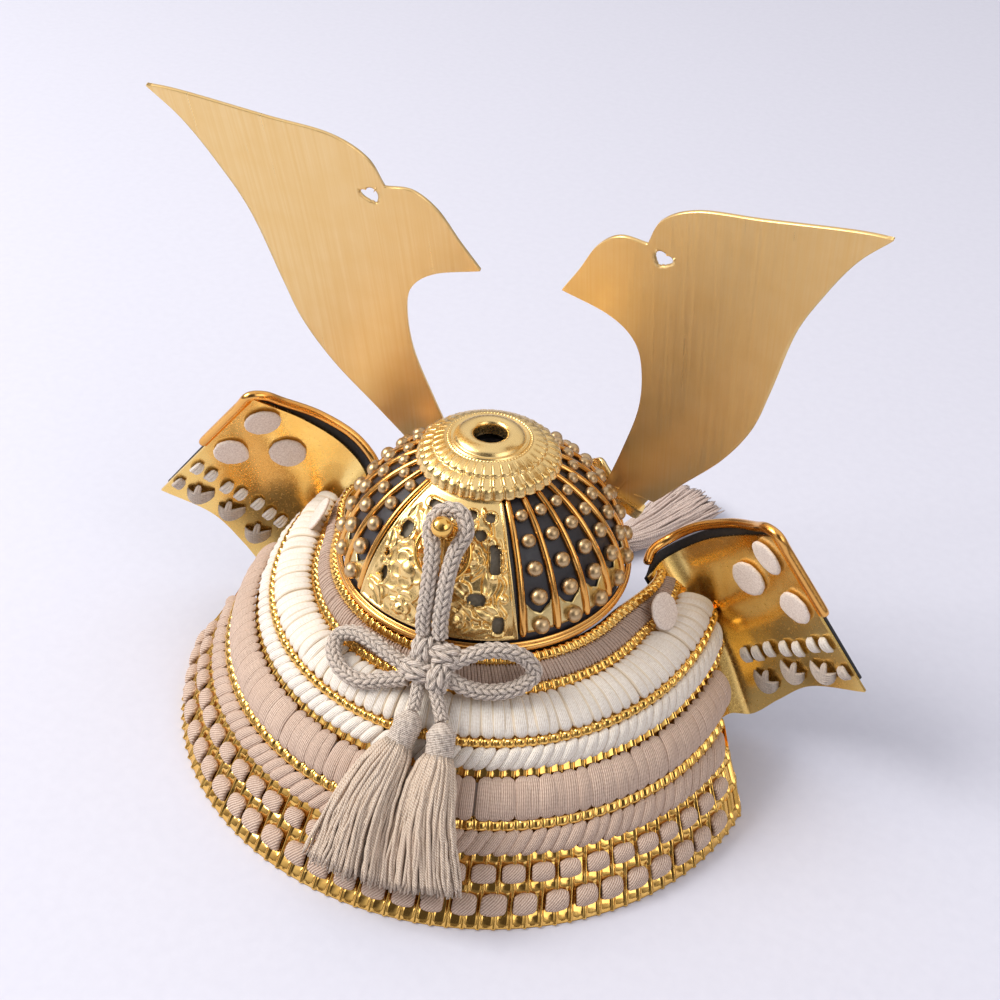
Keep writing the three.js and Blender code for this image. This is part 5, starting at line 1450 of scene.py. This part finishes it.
KNOT_OUT = unit(np.array([0, 0.78, 0.62]))
tied_knot("cord_knot", (-4.2, 45.4, -0.9), (-1, 0, 0), np.cross([-1.0, 0, 0], KNOT_OUT) * -1,
          (6.6, 6.4, 3.6), TAUPE, "cord_knot")
tied_knot("chin_knot", (0, -63.5, -50), (1, 0, 0), (0, 1, 0), (5.6, 4.6, 3.2), CHIN, "chin_knot")


TAIL_R = 1.7


def tail(name, places, finish, solid):
    """A short end of the braid between knot and tassel."""
    _, points, uv, painted_shade = braid(spline(places, 200), TAIL_R, stitch=1.9)
    skin(name, points, finish, cols_round=True, caps=True, uv=uv, painted_shade=painted_shade, replaces=[solid])


TAIL_LEFT = [(-2.2, 49.0, -4.6), (-2.2, 49.6, -5.4), (-2.6, 51.8, -7.2), (-3, 54.4, -9.8)]
TAIL_RIGHT = [(-6.2, 49.0, -4.6), (-6.6, 49.6, -5.4), (-8.6, 52, -7.6), (-10.8, 54.6, -10.2)]
tail("cord_tail_left", TAIL_LEFT, TAUPE, "cord_tail_left")
tail("cord_tail_right", TAIL_RIGHT, TAUPE, "cord_tail_right")
CHIN_TAIL = np.array([(5.0, -66.6, -51.3), (8.6, -69.6, -51.6), (12.6, -71.8, -50.6)])
tail("chin_tail_left", CHIN_TAIL, CHIN, "chin_tail_left")
tail("chin_tail_right", CHIN_TAIL * MIRROR, CHIN, "chin_tail_right")

# %% Tassels
GOLDEN_ANGLE = 2.399963
THREADS_EACH, THREAD_R = 260, 0.47
TWISTED = silk("tassel_silk", (0.4, 0.26, 0.17), (0.74, 0.57, 0.43), (0.97, 0.87, 0.76), 0.55,
               turn=50, height=0.2)
CHIN_TWISTED = silk("chin_tassel_silk", (0.4, 0.27, 0.23), (0.68, 0.53, 0.46), (0.88, 0.77, 0.7),
                    0.55, turn=50, height=0.2)
TASSEL_SHARES = [0, 0.07, 0.2, 0.26, 0.36, 0.65, 1]
TASSEL_WIDE = [1.8, 3.9, 3.6, 5.2, 6.4, 8.4, 10.8]
TASSEL_DEEP = [1.8, 3.9, 3.4, 3.8, 4.0, 4.0, 3.5]


def tassel(name, stations, out, finish, cord_finish, solid):
    """A tassel along a curve, an oval across whose half width and half depth are read off the
    lists above. A thread keeps its own share (a, b) of both, with |(a, b)| < 1, down the skirt."""
    out = np.array(out, float)
    middle = even(spline(stations, 200), 121)
    along = np.linspace(0, 1, 121)
    wide, deep = (np.interp(along, TASSEL_SHARES, half) for half in (TASSEL_WIDE, TASSEL_DEEP))
    tangent = unit(np.gradient(middle, axis=0))
    side = unit(np.cross(out, tangent))
    up = np.cross(tangent, side)
    # The barrel: loose loops that cross each other, roughened by stray fibres.
    head = along <= 0.25
    a = full_turn(72)[None]
    s = along[head][:, None] * length_of(middle)
    winding = 0.14 * np.sin(s * 4.1 + 5 * a + 2 * np.sin(3 * a)) * np.cos(8 * a - 2.3 * s) + 0.12
    fuzz = rng.normal(0, 0.09, winding.shape)
    shrink = 0.92 * np.sqrt(np.clip(1 - np.abs(along[head] / 0.125 - 1) ** 7, 0.1, 1))[:, None]
    grow = shrink * (1 + (winding + fuzz - 0.1) / 4)
    barrel_x, barrel_y = (np.cos(a) * wide[head][:, None] * grow,
                          np.sin(a) * deep[head][:, None] * grow)
    barrel = (middle[head][:, None] + side[head][:, None] * barrel_x[..., None]
              + up[head][:, None] * barrel_y[..., None])
    # Painted shade darkens the barrel where its windings and stray fibres dip.
    skin(f"{name}_barrel", barrel, cord_finish, cols_round=True, caps=True, replaces=[solid],
         uv=(s, np.linspace(0, 24, 73)[None]), painted_shade=0.55 * (1 - ease(winding + fuzz, -0.05, 0.15)))
    # The skirt: threads spread over the oval, denser towards its outside.
    skirt = np.nonzero(along >= 0.19)[0][::7]
    turn = np.arange(THREADS_EACH) * GOLDEN_ANGLE
    reach = np.sqrt((np.arange(THREADS_EACH) + 0.5) / THREADS_EACH) ** 0.7 * 0.94
    wobble = np.cumsum(rng.normal(0, 0.026, (THREADS_EACH, len(skirt), 2)), 1)
    at_a = (reach * np.cos(turn))[:, None] + wobble[..., 0]
    at_b = (reach * np.sin(turn))[:, None] + wobble[..., 1]
    trim = 1 + rng.normal(0, 0.018, (THREADS_EACH, 1)) * (along[skirt] > 0.9)
    ways = middle[skirt] - middle[skirt[0]]
    lines = (middle[skirt[0]] + ways * trim[..., None]
             + side[skirt] * (at_a * wide[skirt])[..., None]
             + up[skirt] * (at_b * deep[skirt])[..., None])
    ends = np.sqrt(np.clip(1 - np.linspace(-1, 1, len(skirt)) ** 30, 0.15, 1))[:, None, None]
    rods = sweep(lines, np.broadcast_to(out, lines.shape), circle(5) * (THREAD_R * ends))
    run = np.linspace(0, 0.8 * length_of(middle), len(skirt))[None, :, None]
    # Painted shade: threads nearer the middle of the skirt get more painted shade, up to 0.75.
    skin(f"{name}_skirt", rods, finish, cols_round=True, caps=True,
         uv=(np.linspace(0, 3.5, 6)[None, None] + turn[:, None, None], run),
         painted_shade=(0.75 * (1 - ease(reach, 0.5, 0.86)))[:, None, None])


TASSEL_LEFT = [(-3.1, 54.3, -9.7), (-2, 60.6, -15.4), (1.9, 72.2, -27), (3.2, 83.8, -43.8)]
TASSEL_RIGHT = [(-10.9, 54.6, -10.3), (-12.4, 60.2, -15.6), (-13.6, 71.4, -26.6),
                (-17.6, 82.2, -43.4)]
TASSEL_OUT = (0, 0.8, 0.6)
tassel("tassel_left", TASSEL_LEFT, TASSEL_OUT, TWISTED, TAUPE, "tassel_left")
tassel("tassel_right", TASSEL_RIGHT, TASSEL_OUT, TWISTED, TAUPE, "tassel_right")
CHIN_TASSEL = np.array([(12.9, -72, -49.6), (18.6, -78.4, -49.8), (26, -90, -50), (36.4, -116, -50.5)])
tassel("chin_tassel_left", CHIN_TASSEL, (0, 0, 1), CHIN_TWISTED, CHIN, "chin_tassel_left")
tassel("chin_tassel_right", CHIN_TASSEL * MIRROR, (0, 0, 1), CHIN_TWISTED, CHIN, "chin_tassel_right")

# %% [markdown]
# ## The end
# The view layer is brought up to date.

# %% The end
bpy.context.view_layer.update()
